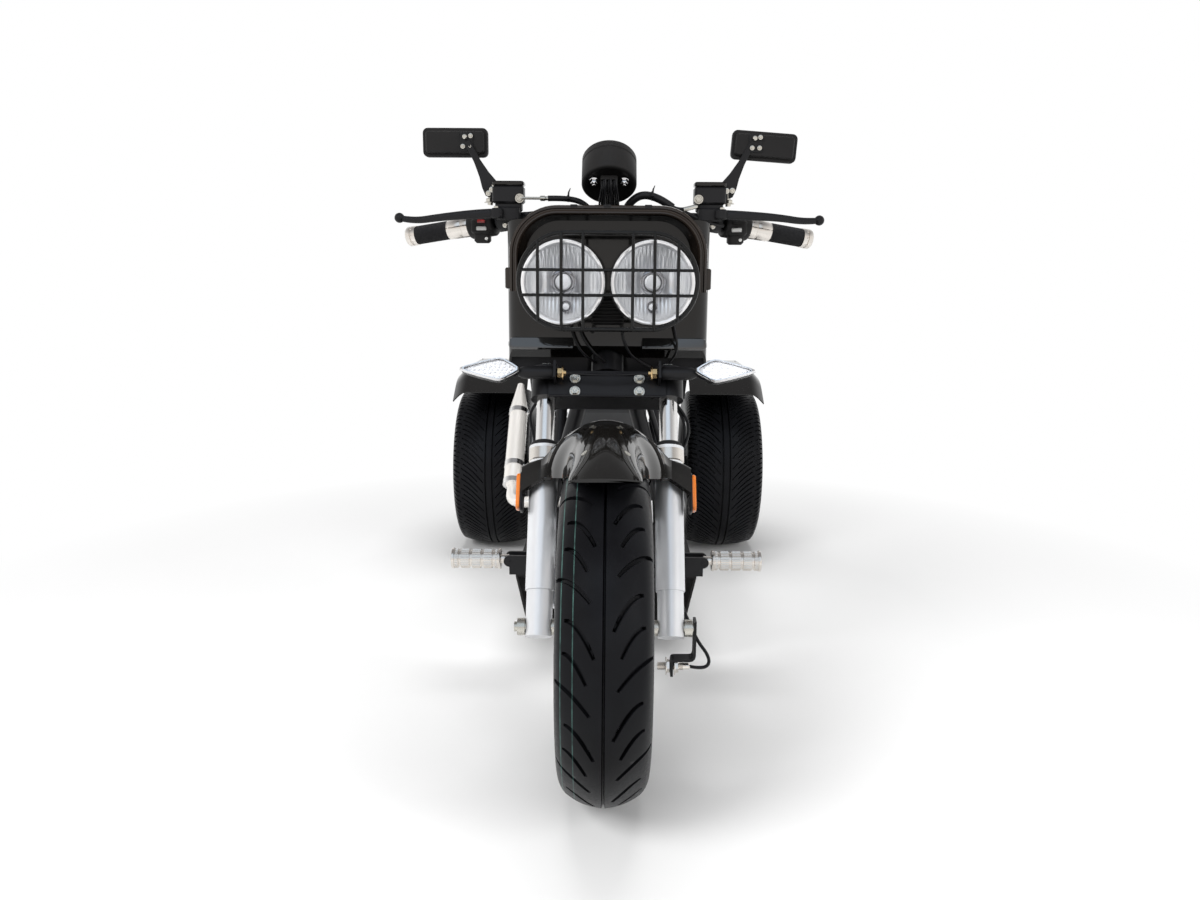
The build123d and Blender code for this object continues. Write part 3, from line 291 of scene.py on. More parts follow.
class Nodes:
    """Short calls that add nodes to a tree. An input is a number, a colour or another node's output."""

    def __init__(self, tree):
        self.tree = tree

    def plug(self, socket, value):
        if isinstance(value, bpy.types.NodeSocket):
            self.tree.links.new(value, socket)
        else:
            socket.default_value = value

    def new(self, kind, inputs=(), **settings):
        node = self.tree.nodes.new(kind)
        for name, value in settings.items():
            setattr(node, name, value)
        for socket, value in inputs:
            self.plug(node.inputs[socket], value)
        return node

    def spread(self, source, low, high, start=0.3, end=0.7):
        inputs = ("Value", source), ("From Min", start), ("From Max", end), ("To Min", low), ("To Max", high)
        return self.new("ShaderNodeMapRange", inputs).outputs["Result"]

    def mix(self, share, first, second):
        first, second = ((*c, 1.0) if isinstance(c, tuple) else c for c in (first, second))
        return self.new("ShaderNodeMix", ((0, share), (6, first), (7, second)), data_type="RGBA").outputs[2]

    def math(self, operation, first, second=0.0):
        return self.new("ShaderNodeMath", ((0, first), (1, second)), operation=operation).outputs[0]


class Surface(Nodes):
    """A material with one Principled shader."""

    def __init__(self, name, colour, rough, metal=0.0):
        self.material = bpy.data.materials.new(name)
        self.material.use_nodes = True
        super().__init__(self.material.node_tree)
        self.shader = self.tree.nodes["Principled BSDF"]
        self.set("Base Color", (*colour, 1.0))
        self.set("Roughness", rough)
        self.set("Metallic", metal)
        self.place = self.new("ShaderNodeTexCoord").outputs["Object"]

    def set(self, socket, value):
        self.plug(self.shader.inputs[socket], value)

    def noise(self, scale, detail=4.0, stretch=(1, 1, 1)):
        squeeze = self.new("ShaderNodeMapping", (("Vector", self.place), ("Scale", stretch)))
        inputs = ("Vector", squeeze.outputs["Vector"]), ("Scale", scale), ("Detail", detail)
        return self.new("ShaderNodeTexNoise", inputs).outputs["Fac"]

    def patches(self, scale, detail, dark, light):
        return self.mix(self.spread(self.noise(scale, detail), 0, 1), dark, light)

    def bump(self, height, strength, depth):
        inputs = ("Height", height), ("Strength", strength), ("Distance", depth)
        self.set("Normal", self.new("ShaderNodeBump", inputs).outputs["Normal"])

    def blend(self, share, first, second):
        """Sends a mix of two shaders to the output."""
        both = self.new("ShaderNodeMixShader", ((0, share), (1, first), (2, second)))
        self.plug(self.tree.nodes["Material Output"].inputs["Surface"], both.outputs[0])


def finish(name, colour, rough, metal=0.0, vary=0.12, uneven=0.06, grain=700, bump=0.1,
           coat=0.0, shine=0.5, stretch=(1, 1, 1)):
    """A surface with patchy colour, uneven gloss and a fine grain."""
    made = Surface(name, colour, rough, metal)
    light = tuple(min(c * (1 + vary), 1.0) for c in colour)
    dark = tuple(c * (1 - vary) for c in colour)
    made.set("Base Color", made.patches(9, 3, dark, light))
    fine = made.noise(grain, 5, stretch)
    made.set("Roughness", made.spread(fine, max(rough - uneven, 0.02), rough + uneven))
    if bump:
        made.bump(fine, bump, GRAIN_DEPTH)
    made.set("Specular IOR Level", shine)
    if coat:
        made.set("Coat Weight", coat)
        made.set("Coat Roughness", COAT_ROUGH)
    return made.material


def tyre_rubber(name, lines=()):
    """Black rubber with fine flow marks; lines are painted rings, (place across, half width)."""
    made = Surface(name, (0.006, 0.006, 0.007), 0.36)
    colour = made.patches(14, 4, (0.005, 0.005, 0.006), (0.009, 0.0095, 0.011))
    parts = made.new("ShaderNodeSeparateXYZ", ((0, made.place),))
    for place, half in lines:
        apart = made.math("ABSOLUTE", made.math("SUBTRACT", parts.outputs[0], place * MM))
        paint = made.math("LESS_THAN", apart, half * MM)
        worn = made.math("MULTIPLY", paint, made.spread(made.noise(60, 2), 0.2, 0.7))
        colour = made.mix(worn, colour, TYRE_PAINT)
    made.set("Base Color", colour)
    made.set("Roughness", made.spread(made.noise(240, 6), 0.28, 0.42))
    made.bump(made.noise(900, 3), 0.12, GRAIN_DEPTH)
    made.set("Specular IOR Level", 0.10)
    return made.material


def vinyl(name):
    made = Surface(name, (0.014, 0.014, 0.015), 0.5)
    made.set("Base Color", made.patches(18, 3, (0.011, 0.011, 0.012), (0.02, 0.02, 0.021)))
    cells = (("Vector", made.place), ("Scale", 620))
    creases = made.new("ShaderNodeTexVoronoi", cells, feature="DISTANCE_TO_EDGE").outputs["Distance"]
    made.set("Roughness", made.spread(creases, 0.62, 0.44, 0.0, 0.25))
    made.bump(made.spread(creases, 0, 1, 0.0, 0.2), 0.35, 0.0005)
    return made.material


def clear_glass(name, tint, share):
    """Thin clear cover: mostly see-through, mirroring more at a slant."""
    made = Surface(name, tint, 0.03)
    made.set("IOR", 1.5)
    see = made.new("ShaderNodeBsdfTransparent", (("Color", (*tint, 1.0)),))
    slant = made.new("ShaderNodeLayerWeight", (("Blend", 0.25),))
    haze = made.spread(made.noise(300, 2), share * 0.8, share * 1.2)
    opaque = made.math("ADD", made.math("POWER", slant.outputs["Facing"], 2.0), haze)
    made.blend(opaque, see.outputs[0], made.shader.outputs[0])
    return made.material


# Colour, roughness and metal, then how patchy, uneven, grained, coated and shiny
GLOSS_BLACK = finish("gloss_black", (0.006, 0.0055, 0.005), 0.09, uneven=0.03, grain=90, bump=0.015,
                     coat=0.25, shine=0.3)
LEDGE_BLACK = finish("ledge_black", (0.008, 0.008, 0.008), 0.10, uneven=0.03, grain=90, bump=0.01,
                     coat=1.0, shine=0.8)
BROWN_BLACK = finish("brown_black", (0.018, 0.013, 0.010), 0.14, uneven=0.04, grain=90, bump=0.02,
                     coat=0.2, shine=0.35)
SATIN_BLACK = finish("satin_black", (0.009, 0.009, 0.010), 0.36, grain=1100, bump=0.12, shine=0.25)
MATT_PLASTIC = finish("matt_plastic", (0.011, 0.0105, 0.0105), 0.50, grain=1600, bump=0.25, shine=0.25)
WIRE_BLACK = finish("wire_black", (0.005, 0.005, 0.005), 0.26, grain=800, bump=0.08, shine=0.3)
GRIP_RUBBER = finish("grip_rubber", (0.012, 0.012, 0.013), 0.66, grain=2400, bump=0.4, shine=0.3)
CABLE_BLACK = finish("cable_black", (0.008, 0.008, 0.009), 0.40, grain=1500, bump=0.2, shine=0.3)
CHROME = finish("chrome", (0.86, 0.86, 0.87), 0.05, 1.0, 0.03, uneven=0.02, grain=60, bump=0)
POLISHED = finish("polished_steel", (0.80, 0.79, 0.78), 0.16, 1.0, 0.05, grain=500, bump=0.03,
                  stretch=(1, 1, 0.05))
SATIN_SILVER = finish("satin_silver", (0.80, 0.81, 0.83), 0.34, 0.5, 0.05, grain=900, bump=0.05,
                      stretch=(1, 1, 0.06))
LAMP_SILVER = finish("lamp_silver", (0.95, 0.95, 0.96), 0.12, 0.55, 0.04, grain=300, bump=0)
LAMP_RING = finish("lamp_ring", (0.34, 0.34, 0.36), 0.12, 1.0, 0.04, grain=300, bump=0)
# Cast alloy darkened to near black: painted shade for the engine deep under the seat and the shield
ALLOY_PAINTED_SHADE = finish("alloy_painted_shade", (0.060, 0.061, 0.063), 0.50, 0.4, 0.15, grain=1300, bump=0.3, shine=0.3)
MUFFLER_STEEL = finish("muffler_steel", (0.86, 0.83, 0.79), 0.24, 0.55, 0.02, uneven=0.03, grain=60, bump=0)
ZINC = finish("zinc", (0.66, 0.64, 0.58), 0.28, 1.0, 0.14, grain=420, bump=0.06)
BRASS = finish("brass", (0.70, 0.50, 0.26), 0.24, 1.0, 0.15, grain=420, bump=0.05)
NICKEL = finish("nickel", (0.78, 0.74, 0.69), 0.20, 1.0, 0.05, grain=600, bump=0.04)
CAST_ALLOY = finish("cast_alloy", (0.42, 0.43, 0.44), 0.46, 0.85, grain=1300, bump=0.3)
WHEEL_ALLOY = finish("wheel_alloy", (0.55, 0.56, 0.57), 0.32, 0.9, 0.08, bump=0.08)
SPRING_STEEL = finish("spring_steel", (0.62, 0.62, 0.64), 0.22, 1.0, 0.06, grain=500, bump=0.03)
AMBER = finish("amber_lens", (0.80, 0.20, 0.012), 0.22, vary=0.10, grain=500, bump=0.3, coat=0.5)
RED = finish("red_lens", (0.38, 0.010, 0.012), 0.18, vary=0.10, grain=300, coat=0.5)
PALE_PLASTIC = finish("pale_plastic", (0.72, 0.72, 0.70), 0.35, vary=0.05, grain=500, bump=0.05)
LED_WHITE = finish("led_white", (0.88, 0.88, 0.90), 0.40, vary=0.08, grain=300, bump=0.05)
MIRROR_FACE = finish("mirror_face", (0.92, 0.93, 0.94), 0.03, 1.0, 0.01, uneven=0.01, grain=40, bump=0)
DIAL_FACE = finish("dial_face", (0.020, 0.021, 0.024), 0.20, bump=0.05, coat=0.8)
LENS_GLASS = clear_glass("lens_glass", (0.98, 0.985, 0.99), 0.02)
SEAT_VINYL = vinyl("seat_vinyl")
TYRE_PLAIN = tyre_rubber("tyre_rubber")
TYRE_LINED = tyre_rubber("tyre_lined", ((-39.5, 0.7), (-55.5, 0.7)))

# Finishes of the CAD nodes that stay in sight
NODE_FINISH = (
    (SATIN_BLACK, "main_frame rear_axle_housing steering_stem handlebar"),
    (WHEEL_ALLOY, "front_rim rear_rim_left rear_rim_right"),
    (MATT_PLASTIC, "floor_pan seat_base"),
    (POLISHED, "fork_tubes front_disc"),
    (SATIN_SILVER, "fork_legs"),
    (GLOSS_BLACK, "leg_shield"),
    # The engine block gets the cast alloy darkened with painted shade
    (ALLOY_PAINTED_SHADE, "engine_block"),
    (ZINC, "front_axle"),
    (CAST_ALLOY, "front_caliper"),
)
for material, names in NODE_FINISH:
    for node in names.split():
        mesh = frame["nodes"][node].data
        mesh.materials.clear()
        mesh.materials.append(material)
        mesh.shade_smooth()
        mesh.set_sharp_from_angle(angle=math.radians(30))


# Tyres with cut treads


def arc_through(start, middle, end, steps=30):
    """Points of the circle through three points of a plane."""
    (ax, ay), (bx, by), (cx, cy) = start, middle, end
    d = 2 * (ax * (by - cy) + bx * (cy - ay) + cx * (ay - by))
    a, b, c = ax * ax + ay * ay, bx * bx + by * by, cx * cx + cy * cy
    ux = (a * (by - cy) + b * (cy - ay) + c * (ay - by)) / d
    uy = (a * (cx - bx) + b * (ax - cx) + c * (bx - ax)) / d
    radius = math.hypot(ax - ux, ay - uy)
    first, last = (math.atan2(y - uy, x - ux) for x, y in (start, end))
    turns = np.linspace(first, last, steps)
    return np.column_stack((ux + radius * np.cos(turns), uy + radius * np.sin(turns)))


TREAD_STEP = 5.5
GROOVE_WALL = 1.1
GROOVE_POINTS = 9
TREAD_SHARE = 0.985
BEAD_FOOT = 12
WALL_RINGS = 16
WALL_RIBS = (3, 4, 12)
RIB_DEPTH = 0.9


class Tread:
    """One tyre: its half section from the crown to the bead, and a pattern that repeats round it."""

    def __init__(self, radius, half, shoulder, shoulder_r, bulge_r, bead_r, bead_half, sweep=0.0):
        between = (shoulder * 0.7, radius - (radius - shoulder_r) * 0.49)
        crown = arc_through((0, radius), between, (shoulder, shoulder_r))
        wall = arc_through((shoulder, shoulder_r), (half, bulge_r), (bead_half, bead_r + BEAD_FOOT))
        self.radius, self.half, self.sweep = radius, half, math.radians(sweep)
        self.line = np.vstack((crown, wall[1:]))
        self.length = np.concatenate(((0,), np.cumsum(np.linalg.norm(np.diff(self.line, axis=0), axis=1))))
        slope = np.gradient(self.line, self.length, axis=0)
        self.out = np.column_stack((-slope[:, 1], slope[:, 0]))
        self.bead_half, self.bead_r = bead_half, bead_r
        self.edge = self.at_share(TREAD_SHARE)

    def at_share(self, share):
        """How far along the section its width reaches this share of the half width."""
        rising = np.argmax(self.line[:, 0])
        return np.interp(share * self.half, self.line[:rising, 0], self.length[:rising])

    def stroke(self, inner, outer, low, span, wide):
        """Outlines at the top and bottom of a curved groove, as (along the tread, across it)."""
        t = np.linspace(0, 1, GROOVE_POINTS)
        along = np.radians(low + span * (1 - (1 - t) ** 2)) * self.radius
        inner, outer = self.at_share(inner), self.at_share(outer)
        line = np.column_stack((along, inner + (outer - inner) * t))
        ahead = units(np.gradient(line, axis=0))
        side = np.column_stack((-ahead[:, 1], ahead[:, 0]))
        half = wide / 2 * (0.55 + 0.45 * np.sin(math.pi * np.clip(t, 0.02, 0.98)) ** 0.4)[:, None]
        outlines = []
        for less in (0, GROOVE_WALL):
            core = line.copy()
            core[0] += ahead[0] * less
            core[-1] -= ahead[-1] * less
            width = side * np.maximum(half - less, 0.25)
            outlines.append(np.vstack((core + width, (core - width)[::-1])))
        return outlines

    def columns(self, channel, depth):
        """Places across the tread with their depths: a straight channel, then even steps to the edge."""
        middle, half = channel
        floor = half - GROOVE_WALL
        columns = [(0.0, 0.0 if middle else depth)]
        for place, deep in ((-half, 0), (-floor, depth), (floor, depth), (half, 0)):
            if middle + place > 0:
                columns.append((middle + place, deep))
        last = columns[-1][0]
        count = int((self.edge - last) / TREAD_STEP)
        return columns + [(v, 0.0) for v in np.linspace(last, self.edge, count + 1)[1:]]

    def patch(self, long, strokes, channel, depth):
        """One repeat of one half: flat points, how deep each lies, triangles, and places along it."""
        rows = np.linspace(0, long, max(4, int(long / TREAD_STEP)))
        rings = [self.stroke(*s) for s in strokes]
        middles = np.vstack([(top[:GROOVE_POINTS] + top[GROOVE_POINTS:][::-1]) / 2 for top, _ in rings])
        flat, deep, edges = [], [], []
        for v, down in self.columns(channel, depth):
            for u in rows:
                near = np.min(np.linalg.norm(middles - (u, v), axis=1))
                if near > TREAD_STEP or u in (rows[0], rows[-1]) or v in (0, self.edge):
                    flat.append((u, v))
                    deep.append(down)
        for outlines in rings:
            for outline, down in zip(outlines, (0.0, depth)):
                first, size = len(flat), len(outline)
                flat += [tuple(p) for p in outline]
                deep += [down] * size
                edges += [(first + i, first + (i + 1) % size) for i in range(size)]
        spots, _, faces, sources, *_ = delaunay_2d_cdt(flat, edges, [], 0, 1e-4)
        depths = [max([deep[k] for k in source], default=0.0) for source in sources]
        return np.array(spots), np.array(depths), faces, rows

    def point(self, along, cross, deep, side, centre):
        x, r, out_x, out_r = (np.interp(cross, self.length, line) for line in (*self.line.T, *self.out.T))
        share = np.clip(cross / self.edge, 0, 1)
        turn = along / self.radius + self.sweep * (1 - (1 - share) ** 2)
        return self.ring(side * (x - out_x * deep), r - out_r * deep, turn, centre)

    def ring(self, x, radius, turn, centre):
        across_by = np.broadcast_to(x, len(turn))
        return np.column_stack((across_by, -radius * np.cos(turn), radius * np.sin(turn))) + centre

    def build(self, name, material, body, node, strokes, groups, channel, depth, shifts):
        """Both halves with their walls; channel is (middle, half width), shifts are degrees."""
        shape, centre = Shape(), box_middle(node)
        long = FULL_TURN / groups * self.radius
        flat, deep, faces, rows = self.patch(long, strokes, channel, depth)
        for side, shift in zip(SIDES, shifts):
            starts = [group * long + math.radians(shift) * self.radius for group in range(groups)]
            for start in starts:
                shape.add(self.point(flat[:, 0] + start, flat[:, 1], deep, side, centre), faces)
            turns = np.concatenate([rows[:-1] + start for start in starts])
            rings = []
            for i, cross in enumerate(np.linspace(self.edge, self.length[-1], WALL_RINGS)):
                rib = RIB_DEPTH if i in WALL_RIBS else 0.0
                rings.append(self.point(turns, np.full(len(turns), cross), rib, side, centre))
            for x in (side * self.bead_half, 0):
                rings.append(self.ring(x, self.bead_r, turns / self.radius + self.sweep, centre))
            shape.rings(rings, caps=False)
        return shape.build(name, material, body, "tyre", node, sharp=32)


def box_middle(node):
    low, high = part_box(node)
    return np.array((low + high) / 2) / MM - ORIGIN


# Strokes: inner and outer share of the half width, lowest angle, angle spanned, width
FRONT_STROKES = (
    (0.27, 0.97, 1.4, 8.6, 7.0),
    (0.34, 0.82, 10.8, 8.8, 6.8),
    (0.19, 0.78, 18.4, 11.0, 7.2),
)
REAR_STROKES = (
    (0.15, 0.68, 0.8, 0.6, 5.0),
    (0.30, 0.74, 4.4, 0.5, 4.6),
    (0.76, 0.97, 1.2, 0.4, 5.0),
    (0.80, 0.97, 5.0, 0.3, 4.4),
)


def tyres():
    front = Tread(radius=255.95, half=65, shoulder=54, shoulder_r=236, bulge_r=207,
                  bead_r=165, bead_half=47)
    front.build("front_tyre_tread", TYRE_LINED, "front_wheel", "front_tyre", FRONT_STROKES,
                groups=11, channel=(0, 2.2), depth=6.0, shifts=(2.0, -5.8))
    rear = Tread(radius=228.9, half=102.5, shoulder=90, shoulder_r=214, bulge_r=176,
                 bead_r=127, bead_half=84, sweep=20)
    for _, hand in HANDS:
        rear.build(f"rear_tyre_tread_{hand}", TYRE_PLAIN, f"rear_wheel_{hand}", f"rear_tyre_{hand}",
                   REAR_STROKES, groups=50, channel=(9, 2.2), depth=5.0, shifts=(3.6, 0))


# Front fender: a domed hood with wings that hang in front of the fork legs

# Sections of the hood: degrees behind the wheel's top, half width, radius of the lower edge
HOOD_SECTIONS = np.array((
    (-31.5, 48, 309), (-27, 49, 293), (-20, 50, 268), (-10, 54, 244), (0, 64, 231), (9, 82, 226),
    (15, 90, 227), (20, 90, 229), (24, 74, 231), (30, 72, 232), (50, 70, 238),
))
HOOD_CROWN = 314
HOOD_HALF = 90
SHEET = 3.0
# The wing from the hood outwards: distance from the middle, place behind the head, bottom, top
WING = (
    (84, -75, 224, 266), (90, -75.6, 224, 258), (97, -76, 224, 253.4), (99, -75.8, 223.4, 252.6),
    (110, -72, 217, 250.4), (121, -68, 210.4, 248), (131.6, -64, 204, 243),
)
# Its rows from the folded top to the folded bottom: deeper, share of the height, raised by
WING_ROWS = ((17, 1, 4), (4, 1, 2), (1, 1, 0.6), (0, 1, -1), (0, 0.5, 0), (0, 0, 1), (2, 0, 0))
WING_HALF = 132
CHEEK = np.array(((-64, 204), (-30, 206), (-18, 226), (-24, 240), (-64, 243)), float)


def curve_at(x, xs, ys):
    """A smooth curve through the points of a table."""
    slopes = np.gradient(ys, xs)
    i = int(np.clip(np.searchsorted(xs, x) - 1, 0, len(xs) - 2))
    gap = xs[i + 1] - xs[i]
    t = (x - xs[i]) / gap
    start = ys[i] * (1 + 2 * t) + slopes[i] * gap * t
    end = ys[i + 1] * (3 - 2 * t) - slopes[i + 1] * gap * (1 - t)
    return start * (1 - t) ** 2 + end * t * t


def hood_point(lean, turn):
    """A point of the hood by its angle behind the wheel's top and its angle from the crown."""
    leans, halves, lows = HOOD_SECTIONS.T
    half = min(curve_at(lean, leans, halves), HOOD_HALF)
    low = curve_at(lean, leans, lows)
    radius = low + (HOOD_CROWN - low) * math.cos(turn)
    lean = math.radians(lean)
    return np.array((half * math.sin(turn), radius * math.sin(lean), AXLE_Z + radius * math.cos(lean)))


# The cove from hood to wing: lean and turn where it starts and bends, then its end on the head
COVE_START, COVE_BEND = (12, 0.75), (17, 0.62)
COVE_END, COVE_RISE = (100, -75.6, 223.2), 29.2
BOSS_RUN = ((118, -38, 232), (124, -38, 232), (129, -38, 232))
BOSS_R = 8
# Lean and turn of the hood's screws
HOOD_SCREW = (-19, 0.62)


def front_fender():
    shape, wing, screws = shapes(3)
    leans = np.linspace(HOOD_SECTIONS[0, 0], HOOD_SECTIONS[-1, 0], 64)
    edge = math.pi / 2
    shape.sheet([[hood_point(lean, turn) for turn in np.linspace(edge, -edge, 49)] for lean in leans], SHEET)
    grid = []
    for deeper, share, more in WING_ROWS:
        grid.append([head(x, y + deeper, low + (top - low) * share + more) for x, y, low, top in WING[::-1]])
    wing.sheet(grid, SHEET)
    cove = []
    for t in np.linspace(0, 1, 8):
        start, corner = (hood_point(lean, edge - turn * t) for lean, turn in (COVE_START, COVE_BEND))
        cove.append(bend(start, corner, head(*COVE_END) + COVE_RISE * t * HEAD_UP, 9))
    wing.sheet(cove, SHEET)
    wing.plate(CHEEK, head(WING_HALF - 4, 0, 0), HEAD_BACK, HEAD_UP, 4.0)
    wing.tube([head(*point) for point in BOSS_RUN], BOSS_R, 20)
    wing.mirrored()
    shape.add(wing.points, wing.faces)
    shape.build("front_fender_shell", GLOSS_BLACK, "steering", "black_gloss", "front_fender")
    lean, turn = HOOD_SCREW
    spot, beside, behind = hood_point(lean, turn), hood_point(lean, turn + 0.04), hood_point(lean + 2, turn)
    out = unit(np.cross(behind - spot, beside - spot))
    screws.screw(spot - out * 0.4, out, 5, 3)
    screws.mirrored().build("front_fender_screws", ZINC, "steering", "zinc_steel")


# Width, height, start and end along X
REFLECTOR_BACK = (30, 64, 130, 135)
REFLECTOR_FACE = (26, 58, 134, 141)
REFLECTOR_BEHIND = -48
REFLECTOR_UP = 209


def fender_reflectors():
    back, face = shapes(2)
    for shape, (wide, high, start, end) in ((back, REFLECTOR_BACK), (face, REFLECTOR_FACE)):
        rims = ((start, 1.2), (start + 1.2, 0), (end - 2, 0), (end, 2.4))
        levels = [(round_rect(wide - less, high - less, 7), x) for x, less in rims]
        shape.stack(levels, lambda behind, up, x: head(x, behind + REFLECTOR_BEHIND, up + REFLECTOR_UP))
        shape.mirrored()
    back.build("reflector_backs", SATIN_BLACK, "steering", "frame_black")
    face.build("reflector_faces", AMBER, "steering", "amber", "fender_reflectors")


# Headlamps, guard and cowl

LAMP_X = 70
LAMP_Z = 768
LAMP_FRONT = 140
LAMP_R = 68
DISH_R = 61
DISH_HOLE = 0.14
DISH_FLOOR = 32
DISH_DEEP = 28
FLUTE_WIDE, FLUTE_DEEP = 6, 0.4
FACET_WIDE, FACET_DEEP, FACET_DROP = 17, 0.9, 1.4
FACET_BAND = 17
LENS_R = 60
LENS_BULGE = 8
LENS_THICK = 2.5
# Profiles from the lamp's front: distance back, radius
BOWL = ((-2, LAMP_R), (14, LAMP_R), (20, LAMP_R - 4), (60, 50), (84, 34), (92, 30),
        (88, 20), (30, 50), (8, 63), (-2, 66))
BEZEL = ((2, 58), (-2, 59), (-4.5, 61), (-5, 63.4), (-3.6, 65.4), (3, 65.8), (4, 60))
BULB = ((2, 5), (3, 10), (6, 12), (8, 12.6), (26, 12.6))
BULB_RING = ((9, 14), (8, 15), (8, 19), (9, 20.5), (29, 20.5), (31, 14))
LOW_BULB = ((8, 2), (9.5, 5), (13, 6.4), (24, 6.4))
LOW_RING = ((11, 7), (9.6, 7.6), (9.6, 8.6), (11, 9.2), (22, 9.2), (22, 7))
# Middles of the lamps and of the small bulbs under them
LAMPS = ((LAMP_X, 70), (-LAMP_X, -66))
LOW_BULB_DROP = 38


def lamp_dish(x, z, share):
    """Depth of the reflector: fine flutes above and below a band of broad facets."""
    flutes = FLUTE_DEEP * math.cos(FULL_TURN * x / FLUTE_WIDE)
    facets = FACET_DEEP * math.cos(FULL_TURN * x / FACET_WIDE) - FACET_DROP
    ease = min(1, (1 - share) * 12) * min(1, (share - DISH_HOLE) * 9)
    bowl = LAMP_FRONT + DISH_FLOOR - DISH_DEEP * share ** 2
    return bowl + ease * (flutes if abs(z) > FACET_BAND else facets)


def headlamps():
    bowls, bezel, mirror, glass, bulbs, rings = shapes(6)
    turns = np.linspace(0.02, math.pi / 2, 16)
    lens = [(-LENS_BULGE * math.cos(t) - 1, LENS_R * math.sin(t)) for t in turns]
    lens += [(d + LENS_THICK, r * 0.985) for d, r in lens[::-1]]
    for lamp_x, low_x in LAMPS:
        at, low = (lamp_x, LAMP_FRONT, LAMP_Z), (low_x, LAMP_FRONT, LAMP_Z - LOW_BULB_DROP)
        bowls.lathe(at, BACK, BOWL, 64, joined=True)
        bezel.lathe(at, BACK, BEZEL, 72, joined=True)
        dish = []
        for share in np.linspace(DISH_HOLE, 1.0, 44):
            spots = circle(240, (share * DISH_R, 0), (0, share * DISH_R))
            dish.append([(x + lamp_x, lamp_dish(x, z, share), z + LAMP_Z) for x, z in spots])
        mirror.rings(dish, caps=False)
        glass.lathe(at, BACK, lens, 64)
        bulbs.lathe(at, BACK, BULB, 32)
        rings.lathe(at, BACK, BULB_RING, 40, joined=True)
        bulbs.lathe(low, BACK, LOW_BULB, 20)
        rings.lathe(low, BACK, LOW_RING, 24, joined=True)
    bowls.build("lamp_bowls", MATT_PLASTIC, "chassis", "black_plastic", "headlamp_bowls")
    bezel.build("lamp_bezels", LAMP_SILVER, "chassis", "reflector_chrome")
    mirror.build("lamp_reflectors", LAMP_SILVER, "chassis", "reflector_chrome")
    glass.build("lamp_glasses", LENS_GLASS, "chassis", "clear_lens", "headlamp_lenses")
    bulbs.build("lamp_bulbs", LED_WHITE, "chassis", "clear_lens")
    rings.build("lamp_bulb_rings", LAMP_RING, "chassis", "reflector_chrome")


GUARD_Y = 112
GUARD_HALF = 137
GUARD_LOW = 697
GUARD_TOP = 843
GUARD_BARS = (38, 71, 107)
GUARD_ROWS = (749, 787)
GUARD_STAY = ((24, GUARD_Y, GUARD_LOW), (24, 160, 690), (24, 232, 690))
GUARD_STAY_R = 3.5
GUARD_RIM = 3.4
GUARD_WIRE = 2.5
BAR_BULGE = 7
ROW_BULGE = 4


def lamp_guard():
    shape = Shape()
    half = (GUARD_TOP - GUARD_LOW) / 2
    middle = GUARD_LOW + half
    straight = GUARD_HALF - half
    for x in GUARD_BARS:
        reach = math.sqrt(half ** 2 - max(x - straight, 0) ** 2)
        turns = np.linspace(-1.5, 1.5, 17)
        path = [(x, GUARD_Y - BAR_BULGE * math.cos(t) ** 0.5, middle + reach * math.sin(t)) for t in turns]
        shape.tube(path, GUARD_WIRE, 10)
    shape.tube(rounded(GUARD_STAY, 20), GUARD_STAY_R, 10).mirrored()
    for z in GUARD_ROWS:
        reach = straight + math.sqrt(half ** 2 - (z - middle) ** 2)
        turns = np.linspace(-1.52, 1.52, 25)
        path = [(reach * math.sin(t), GUARD_Y - ROW_BULGE * math.cos(t) ** 0.5, z) for t in turns]
        shape.tube(path, GUARD_WIRE, 10)
    outline = round_rect(2 * GUARD_HALF, 2 * half, half - 1, 12)
    shape.hoop([(x, GUARD_Y, z + middle) for x, z in outline], GUARD_RIM, BACK, 12)
    shape.build("guard_wires", WIRE_BLACK, "chassis", "guard_black", "lamp_guard")


COWL_HALF = 154
COWL_LOW = 753
COWL_TOP = 884
COWL_ROUND = 74
# From the back edge round the double rolled rim to the lining: place along Y, distance outwards
COWL_FOLD = ((232, 0), (200, 0), (176, 0), (170, 0.3), (167, 1.6), (163.5, 2.2), (160, 1.4), (158.4, -0.6),
             (158, -2.6), (159.6, -4.4), (159.6, -6), (157.6, -7.6), (157, -10), (158.4, -12), (162, -13),
             (176, -13.2), (229, -18))
COWL_EAR = (157.5, 184, 773.5)
EAR_HALF = np.array((5.5, 22, 16.5))
COWL_CLIPS = (-54, -2, 62)


def cowl():
    shape, clips = shapes(2)
    half = [(COWL_HALF, COWL_LOW)]
    for t in np.linspace(0, math.pi / 2, 14):
        half.append((COWL_HALF - COWL_ROUND * (1 - math.cos(t)), COWL_TOP - COWL_ROUND * (1 - math.sin(t))))
    line = np.array(half + [(-x, z) for x, z in half[::-1]])
    slope = units(np.gradient(line, axis=0))
    skin = []
    for y, lift in COWL_FOLD[::-1]:
        skin.append([(x + sz * lift, y, z - sx * lift) for (x, z), (sx, sz) in zip(line, slope)])
    shape.sheet(skin, 2.0)
    for side in SIDES:
        shape.box(-EAR_HALF, EAR_HALF, 2, 4, at=by_side(side, COWL_EAR))
    shape.build("cowl_shell", BROWN_BLACK, "chassis", "black_gloss", "headlamp_cowl")
    for x in COWL_CLIPS:
        clips.box((x - 6, 158, COWL_TOP - 3), (x + 6, 171, COWL_TOP + 3), 1.2)
    clips.build("cowl_clips", SATIN_BLACK, "chassis", "black_plastic")


# Section of the shield's ledge: how far it stands out, and its height
LEDGE = np.array(((-1, 12), (2, 11), (7.4, -1), (8, -5), (6, -8), (-1, -9)))
LEDGE_ENDS = ((56, 0.4), (58, 1), (158, 1), (164, 0.8), (166, 0.3))
SHIELD_Y = 232
LEDGE_Z = 664
APRON = np.array(((36, 640), (166, 640), (164, 624), (144, 604), (36, 604)))
APRON_Y = 261
